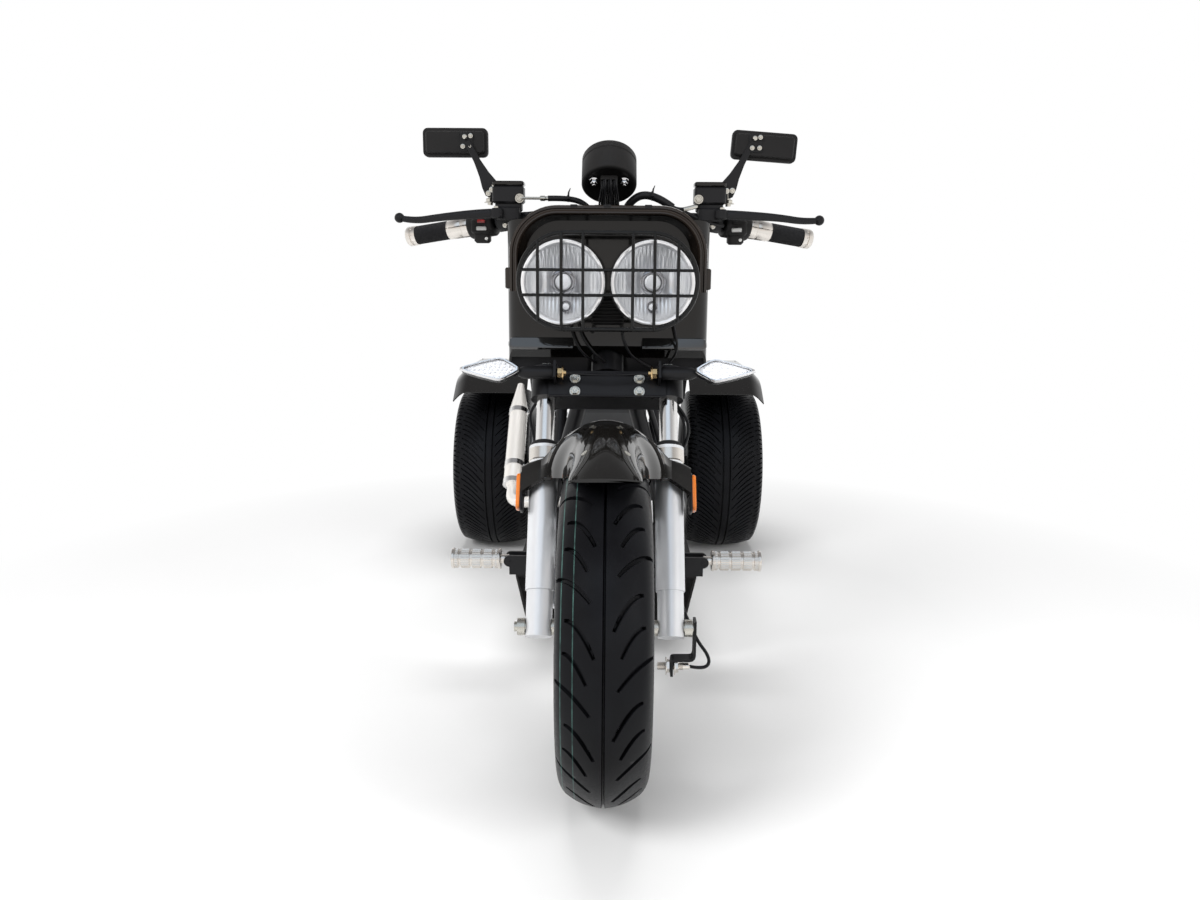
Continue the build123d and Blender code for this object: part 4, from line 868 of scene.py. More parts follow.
# The horn and its lowest rib: low and high corner, edge
HORN = ((-26, 176, 700), (26, SHIELD_Y, 742), 3)
HORN_RIB = ((-27.5, 170, 703), (27.5, 180, 706), 0.8)
HORN_RIBS = 7
HORN_STEP = 5.6
# Lamp leads: points across, along and up
LEADS = (
    ((-62, 196, 700), (-59, 206, 686), (-48, 212, 660), (-32, 222, 642), (-16, 250, 630)),
    ((-48, 196, 702), (-46, 204, 686), (-28, 210, 658), (-8, 222, 638), (6, 250, 627)),
    ((22, 200, 700), (23, 206, 684), (30, 212, 662), (44, 222, 641), (72, 250, 626)),
    ((106, 198, 708), (109, 208, 694), (116, 214, 665), (112, 222, 645), (100, 250, 628)),
)


def shield_trim():
    """The rolled ledge along the shield's crease, the apron, the ribbed horn and the lamps' leads."""
    ledge, apron, horn, leads = shapes(4)
    levels = [(LEDGE * share, x) for x, share in LEDGE_ENDS]
    ledge.stack(levels, lambda out, up, x: (x, SHIELD_Y - out, LEDGE_Z + up))
    ledge.mirrored().build("shield_ledge", LEDGE_BLACK, "chassis", "black_gloss")
    apron.plate(APRON, BACK * APRON_Y, RIGHT, UP, 4)
    apron.mirrored().build("shield_apron", SATIN_BLACK, "chassis", "black_gloss")
    horn.box(*HORN)
    for row in range(HORN_RIBS):
        horn.box(*HORN_RIB, at=UP * row * HORN_STEP)
    horn.build("horn", MATT_PLASTIC, "chassis", "black_plastic")
    for points in LEADS:
        leads.tube(smooth_path(points), 2.2, 10)
    leads.build("lamp_leads", CABLE_BLACK, "chassis", "black_plastic")


# Fork, signals and front axle

FORK_X = 100
FORK_BACK = -38
FORK_TOP = 424
SEAL_UP = 284
COLLAR_UP = 262
BRIDGE_BOLTS = ((52, -66, 397), (52, -66, 374))
FORK_SEAL = ((0, 23), (2, 23.6), (9, 22), (12, 18), (13, 15.2))
FORK_COLLAR = ((0, 22.6), (1.5, 24.6), (20, 24.6), (22, 23), (22, 20), (0, 20))


def fork_trim():
    seals, rings, bolts = shapes(3)
    seals.lathe(head(FORK_X, FORK_BACK, SEAL_UP), HEAD_UP, FORK_SEAL, 40)
    rings.lathe(head(FORK_X, FORK_BACK, COLLAR_UP), HEAD_UP, FORK_COLLAR, 48, joined=True)
    for point in BRIDGE_BOLTS:
        bolts.bolt(head(*point), -HEAD_BACK, 6.8, 5, 2.0)
    bolts.bolt(head(FORK_X, FORK_BACK, FORK_TOP), HEAD_UP, 13, 6, 2.0)
    seals.mirrored().build("fork_seals", GRIP_RUBBER, "steering", "black_plastic")
    rings.mirrored().build("fork_collars", NICKEL, "steering", "polished_steel")
    bolts.mirrored().build("bridge_bolts", ZINC, "steering", "zinc_steel")


SIGNAL_BACK = -84
SIGNAL_UP = 399
SIGNAL_MIDDLE = (182, 0)
# The upper half of a signal's outline, and the stalk's profile along X
SIGNAL_TOP = np.array((
    (140, 3), (148, 8.6), (163, 17.4), (171, 19.6), (178, 19), (205, 12), (228, 5), (236, 1.6),
))
SIGNAL_STALK = ((86, 8), (87, 10), (90, 10.6), (128, 10.6), (137, 9.4), (143, 6))
# Depth and share of the outline, from front to back
SIGNAL_RIM = ((-16.4, 0.86), (-16.4, 0.93), (-14.5, 0.98), (-10, 1.0), (-7, 0.95), (-10, 0.86))
SIGNAL_LENS = ((-17, 0.62), (-16.4, 0.80), (-15, 0.86), (-13, 0.86), (-13, 0.5))
SIGNAL_PLATE = ((-10.5, 0.5), (-10.5, 0.85), (-9, 0.87), (-8, 0.5))
SIGNAL_SHELL = ((-8, 0.97), (4, 0.9), (12, 0.66), (17, 0.4))
# Rows of diodes: height, first place along X, how many
DIODE_ROWS = ((-10.5, 165, 3), (-5.2, 158, 6), (0, 154, 10), (5.2, 158, 6), (10.5, 165, 3))
DIODE_STEP = 7.4
DIODE = ((0, 2.7), (1.4, 2.5), (2.4, 1.2))


def signal_point(x, up, depth):
    return head(x, SIGNAL_BACK + depth, SIGNAL_UP + up)


def signals():
    stalk, nut, rim, lens, lamp = shapes(5)
    at = signal_point(0, 0, 0)
    stalk.lathe(at, RIGHT, SIGNAL_STALK, 32)
    stalk.lathe(at, RIGHT, ((80, 5.6), (90, 5.6)), 20)
    nut.bolt(signal_point(70, 0, 0), RIGHT, 8.6, 8, 2.5)
    nut.lathe(at, RIGHT, ((66, 5), (70, 5.4), (71, 4)), 20)
    outline = np.vstack((SIGNAL_TOP, (SIGNAL_TOP * (1, -1))[::-1])) - SIGNAL_MIDDLE
    parts = (rim, SIGNAL_RIM), (lens, SIGNAL_LENS), (lamp, SIGNAL_PLATE), (stalk, SIGNAL_SHELL)
    for shape, levels in parts:
        rings = [(outline * share + SIGNAL_MIDDLE, depth) for depth, share in levels]
        shape.stack(rings, signal_point, joined=shape is rim)
    for row, first, count in DIODE_ROWS:
        for i in range(count):
            lamp.lathe(signal_point(first + i * DIODE_STEP, row, -10), -HEAD_BACK, DIODE, 12)
    stalk.mirrored().build("signal_bodies", SATIN_BLACK, "steering", "black_plastic", "signal_stalks")
    nut.mirrored().build("signal_nuts", BRASS, "steering", "zinc_steel")
    rim.mirrored().build("signal_rims", CHROME, "steering", "reflector_chrome")
    lens.mirrored().build("signal_glasses", LENS_GLASS, "steering", "clear_lens", "signal_lenses")
    lamp.mirrored().build("signal_diodes", LED_WHITE, "steering", "clear_lens")


# Handlebar and what it carries

BAR_BEND = np.array((160.0, 403, 878))
BAR_RUN = unit((0.954, 0.2626, -0.1444))
# Profiles along the bar from its bend: distance, radius
GRIP_RING = ((100, 16), (100.6, 18), (103, 18.5), (112, 18.5), (113, 17.6), (115, 17.6), (116, 18.2),
             (138, 17.8), (139, 17.2), (142, 17.2), (142.4, 15))
GRIP_END = ((207, 16), (207.4, 17.8), (213, 18), (213.6, 16.4), (217, 16.4), (217.6, 18), (224, 18),
            (226.5, 16.4), (227.5, 14), (228.3, 12), (226, 11))
PERCH = ((12, 15), (12.6, 18), (14, 19), (42, 19), (43.4, 18), (44, 15))
SWITCH = ((48, 19), (49, 22), (52, 24), (72, 24), (73, 23.2), (75, 23.2), (76, 24), (95, 24),
          (98.6, 22), (100, 18))
GRIP_START, GRIP_STOP, GRIP_R = 142, 208, 16
RIB_STEP, RIB_TOP, RIB_FOOT = 2.6, 16.9, 16.3
PIN_ALONG, PIN_OUT = 215.3, 16.6


def grips():
    rubber, metal, ends = shapes(3)
    ribs = [(GRIP_START, GRIP_R)]
    for t in np.arange(GRIP_START + 1, GRIP_STOP - 1, RIB_STEP):
        ribs += [(t, RIB_TOP), (t + 1.5, RIB_TOP), (t + 1.9, RIB_FOOT), (t + 2.3, RIB_FOOT)]
    rubber.lathe(BAR_BEND, BAR_RUN, (*ribs, (GRIP_STOP, GRIP_R)), 48)
    metal.lathe(BAR_BEND, BAR_RUN, GRIP_RING, 56)
    ends.lathe(BAR_BEND, BAR_RUN, GRIP_END, 56)
    for spot in BAR_BEND + BAR_RUN * PIN_ALONG + PIN_OUT * circle(8, *across(BAR_RUN)):
        ends.lathe(spot, BAR_RUN, ((-1.8, 1.2), (1.8, 1.2)), 8)
    rubber.mirrored().build("grip_sleeves", GRIP_RUBBER, "steering", "grip_rubber", "grip_rubbers")
    metal.mirrored().build("grip_inner_rings", NICKEL, "steering", "nickel", "grip_collars")
    ends.mirrored().build("grip_ends", NICKEL, "steering", "nickel")


LEVER_LINE = np.array(((196, 366, 884), (232, 366, 883), (300, 372, 877), (350, 379, 870), (377, 383, 876)))
# How much higher the left lever's points stand
LEFT_RISE = np.outer((0, 0, 3, 3, 0), UP)
LEVER_TIP = (375.5, 383, 876)
LEVER_ROOT = (198, 366, 884)
ROOT_HALF = np.array((11, 11, 9))
LEVER_PIN = (200, 366, 892)
LEVER_SHARES = (0, 0.15, 0.5, 0.9, 1)
LEVER_RADII = (7.5, 7.2, 5.8, 5, 4.6)
LEVER_BALL = [(9 * math.sin(t), 9 * math.cos(t)) for t in np.linspace(-1.55, 1.55, 13)]


def levers():
    shape, pins = shapes(2)
    for side in SIDES:
        line = LEVER_LINE + LEFT_RISE if side > 0 else LEVER_LINE
        path = smooth_path(by_side(side, line), 10)
        radii = np.interp(np.linspace(0, 1, len(path)), LEVER_SHARES, LEVER_RADII)
        shape.tube(path, radii, 18, 1.15, UP)
        shape.lathe(by_side(side, LEVER_TIP), (side, 0, 0), LEVER_BALL, 24)
        shape.box(-ROOT_HALF, ROOT_HALF, 3, 7, at=by_side(side, LEVER_ROOT))
    pins.bolt(LEVER_PIN, UP, 4.4, 3.4, 1.2)
    shape.build("lever_blades", SATIN_BLACK, "steering", "black_plastic", "brake_levers")
    pins.mirrored().build("lever_pins", ZINC, "steering", "zinc_steel")


# Low and high corner, edge and corner radius of each block
RESERVOIR = (
    ((151, 366, 902), (207, 406, 932), 3, 7),
    ((155, 372, 888), (203, 402, 904), 3, 7),
    ((158, 366, 872), (202, 392, 896), 3, 8),
)
RESERVOIR_LID = ((150.5, 365.5, 932), (207.5, 406.5, 940), 2, 8)
LID_SCREWS = ((160, 386, 939.6), (198, 386, 939.6))
PERCH_MIDDLE = BAR_BEND + BAR_RUN * 28
PERCH_BOLTS = ((0, -19, -9), (0, -19, 9))
HOSE_BOLT = (158, 366, 910)


def master_cylinders():
    body, lid, bolts = shapes(3)
    for block in RESERVOIR:
        body.box(*block)
    body.lathe(BAR_BEND, BAR_RUN, PERCH, 40)
    lid.box(*RESERVOIR_LID)
    for spot in LID_SCREWS:
        bolts.screw(spot, UP, 3.6, 1.8)
    for offset in PERCH_BOLTS:
        bolts.bolt(PERCH_MIDDLE + offset, FORWARD, 3.6, 3, 1)
    bolts.bolt(HOSE_BOLT, FORWARD, 6.2, 5, 2)
    body.mirrored().build("reservoir_bodies", SATIN_BLACK, "steering", "black_plastic", "master_cylinders")
    lid.mirrored().build("reservoir_lids", GLOSS_BLACK, "steering", "black_plastic")
    bolts.mirrored().build("reservoir_bolts", ZINC, "steering", "zinc_steel")


SWITCH_ALONG = 74
# Blocks and keys about the switch's middle: low and high corner, edge and corner radius
SWITCH_BLOCKS = (((-20, -26, -18), (20, -8, 10), 4, 8), ((-15, -20, -34), (15, 4, -14), 4, 8))
SWITCH_KEY = ((-7, -30, 1), (7, -24, 7), 1.4)
SWITCH_SLIDE = ((-9, -29.4, -12), (9, -24.6, -5), 1.2)
SWITCH_SCREW = (8, -19.5, -26)


def switches():
    body, red, pale = shapes(3)
    for side in SIDES:
        body.lathe(by_side(side, BAR_BEND), by_side(side, BAR_RUN), SWITCH, 44)
        middle = by_side(side, BAR_BEND + BAR_RUN * SWITCH_ALONG)
        for block in SWITCH_BLOCKS:
            body.box(*block, at=middle)
        key = red if side < 0 else body
        key.box(*SWITCH_KEY, at=middle)
        pale.box(*SWITCH_SLIDE, at=middle)
        pale.screw(middle + SWITCH_SCREW, FORWARD, 3, 1.6)
    body.build("switch_blocks", MATT_PLASTIC, "steering", "black_plastic", "switch_housings")
    red.build("switch_stop", RED, "steering", "red_lens")
    pale.build("switch_keys", PALE_PLASTIC, "steering", "black_plastic")


MIRROR_AT = np.array((275, 402, 1008))
MIRROR_TILT = math.radians(-4)
MIRROR_DROP = 4
# From the face to the back: place along Y, width, height, corner radius
MIRROR_SHELL = ((11, 108, 42, 6), (11, 114, 48, 8), (8, 116, 50, 9), (-2, 116, 50, 9), (-4, 114, 48, 8),
                (-4, 106, 40, 6), (-9, 104, 38, 5), (-11, 100, 34, 4))
MIRROR_PANE = ((10, 104, 40, 5), (12.4, 104, 40, 5))
# Right half of the arm's outline, from its foot
ARM_HALF = np.array(((9, -15), (15, -7), (14, 8), (9.5, 26), (6, 52), (5, 90)), float)
ARM_THICK = 4.5
ARM_FOOT = (211, 392, 929)
ARM_TOP = (256, 388, 1016)
ARM_BLOCK = ((-10, 1, -24), (14, 10, 9), 1.5, 3)
# Bolts at the arm's foot, across and along it, and on the shell, from the arm's top
FOOT_BOLTS = ((-8.5, 2), (0, -3), (8.5, -6))
SHELL_BOLTS = ((-4, -1, -16), (9, -1, -16), (10, -1, 2))
STEM_LINE = ((214, 398, 900), (212, 397, 926))
STEM_NUT = (214, 398, 904)


def mirrors():
    shell, arm, bolts, stem, glass = shapes(5)
    outline = np.vstack((ARM_HALF, (ARM_HALF * (-1, 1))[::-1]))
    for side in SIDES:
        tilt, drop = (MIRROR_TILT, MIRROR_DROP) if side > 0 else (0, 0)
        right = np.array((math.cos(tilt), 0, math.sin(tilt)))
        middle = by_side(side, MIRROR_AT) - (0, 0, drop)
        for shape, rows in ((shell, MIRROR_SHELL), (glass, MIRROR_PANE)):
            levels = [(round_rect(*row[1:]), row[0]) for row in rows]
            shape.stack(levels, lambda x, z, y: middle + x * right + z * np.cross(right, BACK) + (0, y, 0))
        low, high = by_side(side, ARM_FOOT), by_side(side, ARM_TOP)
        along = unit(high - low)
        wide = np.cross(along, BACK)
        arm.plate(outline, low, unit(wide), along, ARM_THICK * side)
        arm.box(*ARM_BLOCK, at=high)
        front = FORWARD * ARM_THICK
        for across_by, along_by in FOOT_BOLTS:
            bolts.bolt(low + wide * across_by + along * along_by + front, FORWARD, 3.6, 2.4, 0.8)
        for offset in SHELL_BOLTS:
            bolts.bolt(high + offset, FORWARD, 3, 2.2, 0.6)
        bolts.screw(high + front, FORWARD, 4.4, 2.4)
    stem.tube(STEM_LINE, 5, 16)
    stem.bolt(STEM_NUT, UP, 8, 6, 1.5)
    shell.build("mirror_backs", MATT_PLASTIC, "steering", "black_plastic", "mirror_shells")
    glass.build("mirror_panes", MIRROR_FACE, "steering", "mirror_face", "mirror_glasses")
    arm.build("mirror_plates", SATIN_BLACK, "steering", "black_plastic", "mirror_arms")
    bolts.build("mirror_bolts", ZINC, "steering", "zinc_steel")
    stem.mirrored().build("mirror_stems", ZINC, "steering", "zinc_steel")


GAUGE_AT = np.array((0, 345.0, 931))
GAUGE_LEAN = math.radians(38)
GAUGE_AXIS = np.array((0, math.sin(GAUGE_LEAN), math.cos(GAUGE_LEAN)))
GAUGE_CAN = ((2, 36), (0, 40), (0, 43), (1, 46.5), (3, 48), (43, 48), (44, 47), (45.5, 47), (46.5, 48),
             (57, 48), (59.4, 46.6), (60, 45), (60, 43.2), (57.5, 43))
GAUGE_DIAL = ((56.5, 43), (57.9, 43), (58.1, 42.6))
GAUGE_RIM = ((58, 42), (58.8, 42), (59, 34), (58.3, 33.6))
GAUGE_WIRES = 9


def gauge():
    body, nuts, wires, face = shapes(4)
    body.lathe(GAUGE_AT, GAUGE_AXIS, GAUGE_CAN, 64)
    low = np.cross(GAUGE_AXIS, RIGHT)
    spot = GAUGE_AT + (26, 0, 0) - low * 12
    nuts.bolt(spot, -GAUGE_AXIS, 6, 5, 1.6)
    nuts.lathe(spot, -GAUGE_AXIS, ((6, 3), (11, 3), (11.6, 2.4)), 14)
    plug = GAUGE_AT - GAUGE_AXIS * 7 - low * 14
    body.plate(round_rect(30, 20, 3), plug, RIGHT, low, 9, 1.5)
    for k in range(GAUGE_WIRES):
        x, drop = (k - 4) * 3.0, k % 3 * 4
        start = plug + (x, 0, 0) - low * (2 + drop)
        path = (start, start - GAUGE_AXIS * 14, (x * 1.5, 352, 900 - drop), (x * 1.2, 368, 872),
                (x * 0.8, 378, 846))
        wires.tube(smooth_path(path, 6), 1.7, 8)
    face.lathe(GAUGE_AT, GAUGE_AXIS, GAUGE_DIAL, 64)
    face.lathe(GAUGE_AT, GAUGE_AXIS, GAUGE_RIM, 64)
    body.build("gauge_can", MATT_PLASTIC, "steering", "black_plastic", "gauge_housing")
    nuts.mirrored().build("gauge_nuts", CHROME, "steering", "zinc_steel")
    wires.build("gauge_wires", CABLE_BLACK, "steering", "black_plastic")
    face.build("gauge_dial", DIAL_FACE, "steering", "dial", "gauge_face")


# Pegs, exhaust and rear fenders

PEG_AT = (190, 436, 224)
PEG_R = 18
PEG_GROOVES = (30, 52, 75, 97)
PEG_KNURLS = ((24, 29), (35, 51), (57, 74), (80, 96), (102, 108))


def pegs():
    profile = [(0, 8), (2, 9), (17, 9), (17.4, 19.8), (19, 20.5), (22, 20.5), (23, PEG_R)]
    for t in PEG_GROOVES:
        profile += [(t, PEG_R), (t + 0.8, 16.4), (t + 3.2, 16.4), (t + 4, PEG_R)]
    profile += [(109, PEG_R), (109.4, 20.2), (111, 20.5), (114, 20.2), (115, PEG_R), (115, 11), (113, 10)]
    for side, hand in HANDS:
        peg, pin = shapes(2)
        at, axis = by_side(side, PEG_AT), (side, 0, 0)
        peg.lathe(at, axis, profile, 56)
        for spot in at + circle(28, BACK * PEG_R, UP * PEG_R):
            for start, end in PEG_KNURLS:
                peg.lathe(spot, axis, ((start, 0.5), (start + 0.6, 1.1), (end - 0.6, 1.1), (end, 0.5)), 6)
        pin.lathe(at - (0, 13, 0), FORWARD, ((0, 9), (2, 9), (3, 8), (3, 5)), 24)
        pin.screw(at - (0, 15, 0), FORWARD, 5, 3)
        peg.build(f"peg_grip_{hand}", NICKEL, f"{hand}_peg", "nickel", f"peg_{hand}")
        pin.build(f"peg_pin_{hand}", SATIN_BLACK, "chassis", "frame_black")


MUFFLER_LOW = np.array((-226, 838, 276))
MUFFLER_HIGH = np.array((-224, 1048, 494))
EXHAUST_RUN = ((-70, 884, 262), (-70, 796, 250), (-226, 790, 250), MUFFLER_LOW)
CONE_START = 226
MUFFLER_R = 23
BAND = ((-7, MUFFLER_R), (-6.4, 24.2), (6.4, 24.2), (7, MUFFLER_R))
BANDS_ALONG = (10, 59, 215)


def exhaust():
    pipe, rings = shapes(2)
    pipe.tube(rounded(EXHAUST_RUN, 46, 8), 13, 20)
    axis, length = unit(MUFFLER_HIGH - MUFFLER_LOW), np.linalg.norm(MUFFLER_HIGH - MUFFLER_LOW)
    can = ((-4, 13), (4, 19), (10, 22), (14, MUFFLER_R), (CONE_START, MUFFLER_R), (CONE_START + 3, 22))
    tip = ((length - 4, 9), (length, 8.4), (length - 2, 7), (length - 40, 6.6))
    pipe.lathe(MUFFLER_LOW, axis, can + tip, 44)
    for along in BANDS_ALONG:
        spot = MUFFLER_LOW + axis * along
        rings.lathe(spot, axis, BAND, 44)
        rings.bolt(spot + (MUFFLER_R, -6, 0), FORWARD, 3.6, 4, 1)
    pipe.build("exhaust_pipe", MUFFLER_STEEL, "chassis", "polished_steel", "exhaust")
    rings.build("exhaust_bands", POLISHED, "chassis", "polished_steel")


# The rear fender's line along Y and up, and its section from the inner edge: across, down
REAR_RUN = ((1086, 470), (1166, 523), (1478, 523), (1547.6, 470.9))
REAR_SECTION = ((213, 0), (216, 0), (370, 0), (380, 1.5), (392, 9), (405, 22), (407, 25))
BRACKET = np.array(((112, 520), (213, 520), (205, 445), (150, 445)))
BRACKET_Y = 1172
HOSE = ((36, 296, 650), (72, 321, 560), (105, 350, 450), (131, 374, 335), (143, 400, 260), (143, 422, 205))


def rear_fenders():
    shape, bracket, hose = shapes(3)
    run = rounded(REAR_RUN, 40, 6)
    shape.sheet([[(x, y, z - down) for x, down in REAR_SECTION[::-1]] for y, z in run], SHEET)
    shape.mirrored().build("rear_fender_shells", GLOSS_BLACK, "chassis", "black_gloss", "rear_fenders")
    bracket.plate(BRACKET, BACK * BRACKET_Y, RIGHT, UP, 3, 0.6)
    bracket.mirrored().build("fender_brackets", SATIN_BLACK, "chassis", "frame_black")
    hose.tube(smooth_path(HOSE), 5.5, 14)
    hose.build("frame_hose", CABLE_BLACK, "chassis", "black_plastic")


# Cables at the bar, and the wheel sensor

# Radius, sides and points of each hose, from the bar into the shield
BAR_HOSES = (
    (5, 14, ((-108, 365, 910), (-80, 368, 911), (-48, 372, 906), (-26, 378, 884), (-22, 382, 846))),
    (3.6, 12, ((-150, 384, 884), (-112, 380, 888), (-70, 380, 892), (-34, 382, 876), (-27, 384, 846))),
    (7, 16, ((112, 368, 896), (92, 363, 910), (58, 360, 919), (34, 366, 902), (24, 380, 876),
             (22, 384, 846))),
    (3, 12, ((158, 372, 900), (136, 368, 892), (112, 367, 895), (94, 366, 905))),
    (3.4, 12, ((206, 392, 866), (172, 378, 872), (136, 372, 888), (104, 368, 900))),
)
# Place and radius of each tie
BAR_TIES = ((-72, 368, 910.5, 6.4), (76, 361, 915, 8.4))
FERRULE = ((0, 3), (1, 4.6), (9, 4.6), (10, 3.6), (16, 3.6))


def bar_cables():
    """Sleeved cables from the lever perches into the shield beside the stem, with their ties."""
    hose, metal, ties = shapes(3)
    for radius, sides, points in BAR_HOSES:
        hose.tube(smooth_path(points), radius, sides)
    metal.tube(((-156, 361, 910), (-130, 363, 910), (-106, 365, 910)), 2.4, 12)
    metal.lathe((-122, 364, 910), (1, 0.05, 0), FERRULE, 20)
    metal.tube(((156, 371, 899), (146, 370, 896), (132, 368.4, 892.6)), 4, 14)
    for x, y, z, r in BAR_TIES:
        ties.lathe((x - 2, y, z), RIGHT, ((0, r - 1), (0.6, r), (3.4, r), (4, r - 1)), 20)
        y -= r
        ties.box((x - 3, y - 3, z - 2), (x + 3, y + 2, z + 4), 1)
        ties.tube(((x, y, z), (x + 1, y - 1, z + 10), (x + 4, y, z + 17)), (1.8, 1.5, 0.6), 8)
    hose.build("bar_hoses", CABLE_BLACK, "steering", "black_plastic")
    metal.build("cable_ferrules", ZINC, "steering", "zinc_steel")
    ties.build("cable_ties", SATIN_BLACK, "steering", "black_plastic")


def signal_lead():
    wire, lip = shapes(2)
    wire.lathe(signal_point(72, 0, 0), -RIGHT, ((0, 4.2), (7, 4.2), (9, 2.2), (10, 1.8)), 16)
    wire.mirrored()
    run = np.linspace(-66, 66, 23)
    wire.tube([signal_point(x, -5 * math.cos(x / 42), -3 * math.cos(x / 44)) for x in run], 1.7, 10)
    wire.build("signal_lead", CABLE_BLACK, "steering", "black_plastic")
    for half, up in ((94, 366), (80, 404)):
        lip.tube([head(x, -67, up) for x in (-half, 0, half)], 2.2, 10)
    lip.build("signal_plate_edges", SATIN_BLACK, "steering", "frame_black")


# Hoses beside the fork: points across, behind and up along the head
FORK_HOSES = (
    ((101, -12, 226), (112, -10, 262), (121, -6, 288), (134, 0, 316), (138, 2, 342), (128, 2, 366),
     (112, -4, 384)),
    ((108, -10, 250), (124, -2, 290), (129, 2, 320), (130, 4, 350), (118, 2, 372), (108, -6, 386)),
    ((-110, -10, 256), (-115, -6, 290), (-122, -2, 322), (-130, 2, 352), (-126, 0, 372), (-112, -6, 386)),
)
# The sensor's lead: from the barrel, measured from the axle, then up along the head
LEAD_LOW = ((128, 0, -61), (146, -2, -64), (160, -2, -58), (158, 4, -44), (142, 14, -26), (128, 24, 4))
LEAD_HIGH = ((122, -14, 30), (112, -12, 70), (104, -12, 150), (101, -12, 226))
STRAP_X = 134
STRAP_LINE = ((0, 14), (0, -46), (-34, -46), (-34, -74))
SENSOR_X = 80
SENSOR_DROP = 61


def wheel_sensor():
    strap, barrel, lead = shapes(3)
    line = rounded(STRAP_LINE, 6, 4)
    strap.sheet([[(STRAP_X + x, y, AXLE_Z + up) for y in (11, 4, -4, -11)] for x, up in line], 4)
    strap.build("sensor_strap", SATIN_BLACK, "steering", "frame_black", "speed_sensor")
    thread = [(0, 3)]
    for t in np.arange(1, 40, 1.5):
        thread += [(t, 5.4), (t + 0.75, 6)]
    at = np.array((SENSOR_X, 0, AXLE_Z - SENSOR_DROP))
    barrel.lathe(at, RIGHT, (*thread, (41, 5.2), (48, 5.2), (50, 3.4)), 28)
    for start in (13, 26):
        barrel.bolt(at + (start, 0, 0), RIGHT, 10, 5, 1.6)
    barrel.build("sensor_barrel", NICKEL, "steering", "polished_steel")
    path = [(x, y, AXLE_Z + up) for x, y, up in LEAD_LOW] + [head(*point) for point in LEAD_HIGH]
    lead.tube(smooth_path(path, 7), 2.6, 10)
    for points in FORK_HOSES:
        lead.tube(smooth_path([head(*point) for point in points]), 2.6, 10)
    lead.build("sensor_lead", CABLE_BLACK, "steering", "black_plastic")


# Seat

SEAT_LOW = 628
SEAT_TOP = 706
SEAT_HALF = 132
SEAT_FRONT = 800
SEAT_BACK = 1420
SEAT_PLAN = ((0, SEAT_FRONT), (92, SEAT_FRONT), (SEAT_HALF, 990), (SEAT_HALF, SEAT_BACK), (0, SEAT_BACK))
# How far the pad stands inside the plan, and its height, before it swells
SEAT_LEVELS = ((12, 629), (7, 636), (7, 680), (13, 692), (30, 698))
SEAT_PIPING = ((3.4, 684), (6.5, 634))
SEAT_CORNERS = np.array(((-SEAT_HALF, SEAT_FRONT, SEAT_LOW), (SEAT_HALF, SEAT_BACK, SEAT_TOP)))
SEAM_Y = 1130
SEAM_WIDE = 7
SEAM_DEEP = 0.004
SWELL_MOST = 0.009
SWELL_STEPS = 20
VOXEL = 0.006


def seat_ring(less, z):
    half = rounded(SEAT_PLAN, 44, 7)[1:-1]
    plan = np.vstack((half, (half * (-1, 1))[::-1]))
    return [(x, y, z) for x, y in inset(plan, less)]


def seat_cushion():
    """A slightly small pad swelled as cloth, held where it rests on its base."""
    pad = Shape().rings([seat_ring(less, z) for less, z in SEAT_LEVELS])
    piece = new_object("seat_pad", pad.mesh("seat_pad"))
    even = piece.modifiers.new("even", "REMESH")
    even.mode = "VOXEL"
    even.voxel_size = VOXEL
    apply_modifiers(piece)
    swell(piece)
    low, high = (SEAT_CORNERS + ORIGIN) * MM
    for vertex in piece.data.vertices:
        _, y, z = np.array(vertex.co) / MM - ORIGIN
        seam = math.exp(-((y - SEAM_Y) / SEAM_WIDE) ** 2) * max(0, min(1, (z - 650) / 30))
        vertex.co.z -= SEAM_DEEP * seam
        vertex.co = np.clip(vertex.co, low, high)
    piece.modifiers.new("finer", "SUBSURF").levels = 1
    apply_modifiers(piece)
    piece.data.name = "seat_pad"
    piece.data.shade_smooth()
    dress(piece, SEAT_VINYL, "chassis", "seat_cover", "seat_cushion")
    skin = BVHTree.FromPolygons([v.co for v in piece.data.vertices],
                                [p.vertices for p in piece.data.polygons])
    piping = Shape()
    for less, z in SEAT_PIPING:
        nearest = [skin.find_nearest((point + ORIGIN) * MM)[0] for point in seat_ring(less, z)]
        piping.hoop(np.array(nearest) / MM - ORIGIN, 2.0, UP, 8)
    piping.build("seat_piping", SEAT_VINYL, "chassis", "seat_cover")


def evaluated(piece):
    graph = bpy.context.evaluated_depsgraph_get()
    return bpy.data.meshes.new_from_object(piece.evaluated_get(graph))


def apply_modifiers(piece):
    piece.data = evaluated(piece)
    piece.modifiers.clear()


def swell(piece):
    start = np.array([v.co for v in piece.data.vertices])
    held = piece.vertex_groups.new(name="held")
    held.add([i for i, p in enumerate(start) if p[2] < (SEAT_LOW + 8) * MM], 1.0, "REPLACE")
    cloth = piece.modifiers.new("swell", "CLOTH")
    cloth.settings.use_pressure = True
    cloth.settings.uniform_pressure_force = 4
    cloth.settings.effector_weights.gravity = 0
    cloth.settings.vertex_group_mass = held.name
    scene = bpy.context.scene
    for step in range(SWELL_STEPS):
        scene.frame_set(step + 1)
    moved = np.array([v.co for v in evaluated(piece).vertices]) - start
    piece.modifiers.clear()
    piece.vertex_groups.clear()
    scene.frame_set(1)
    far = np.maximum(np.linalg.norm(moved, axis=1), 1e-9)[:, None]
    place = start + moved * np.minimum(1, SWELL_MOST / far)
    for vertex, spot in zip(piece.data.vertices, place):
        vertex.co = spot


# Rear end

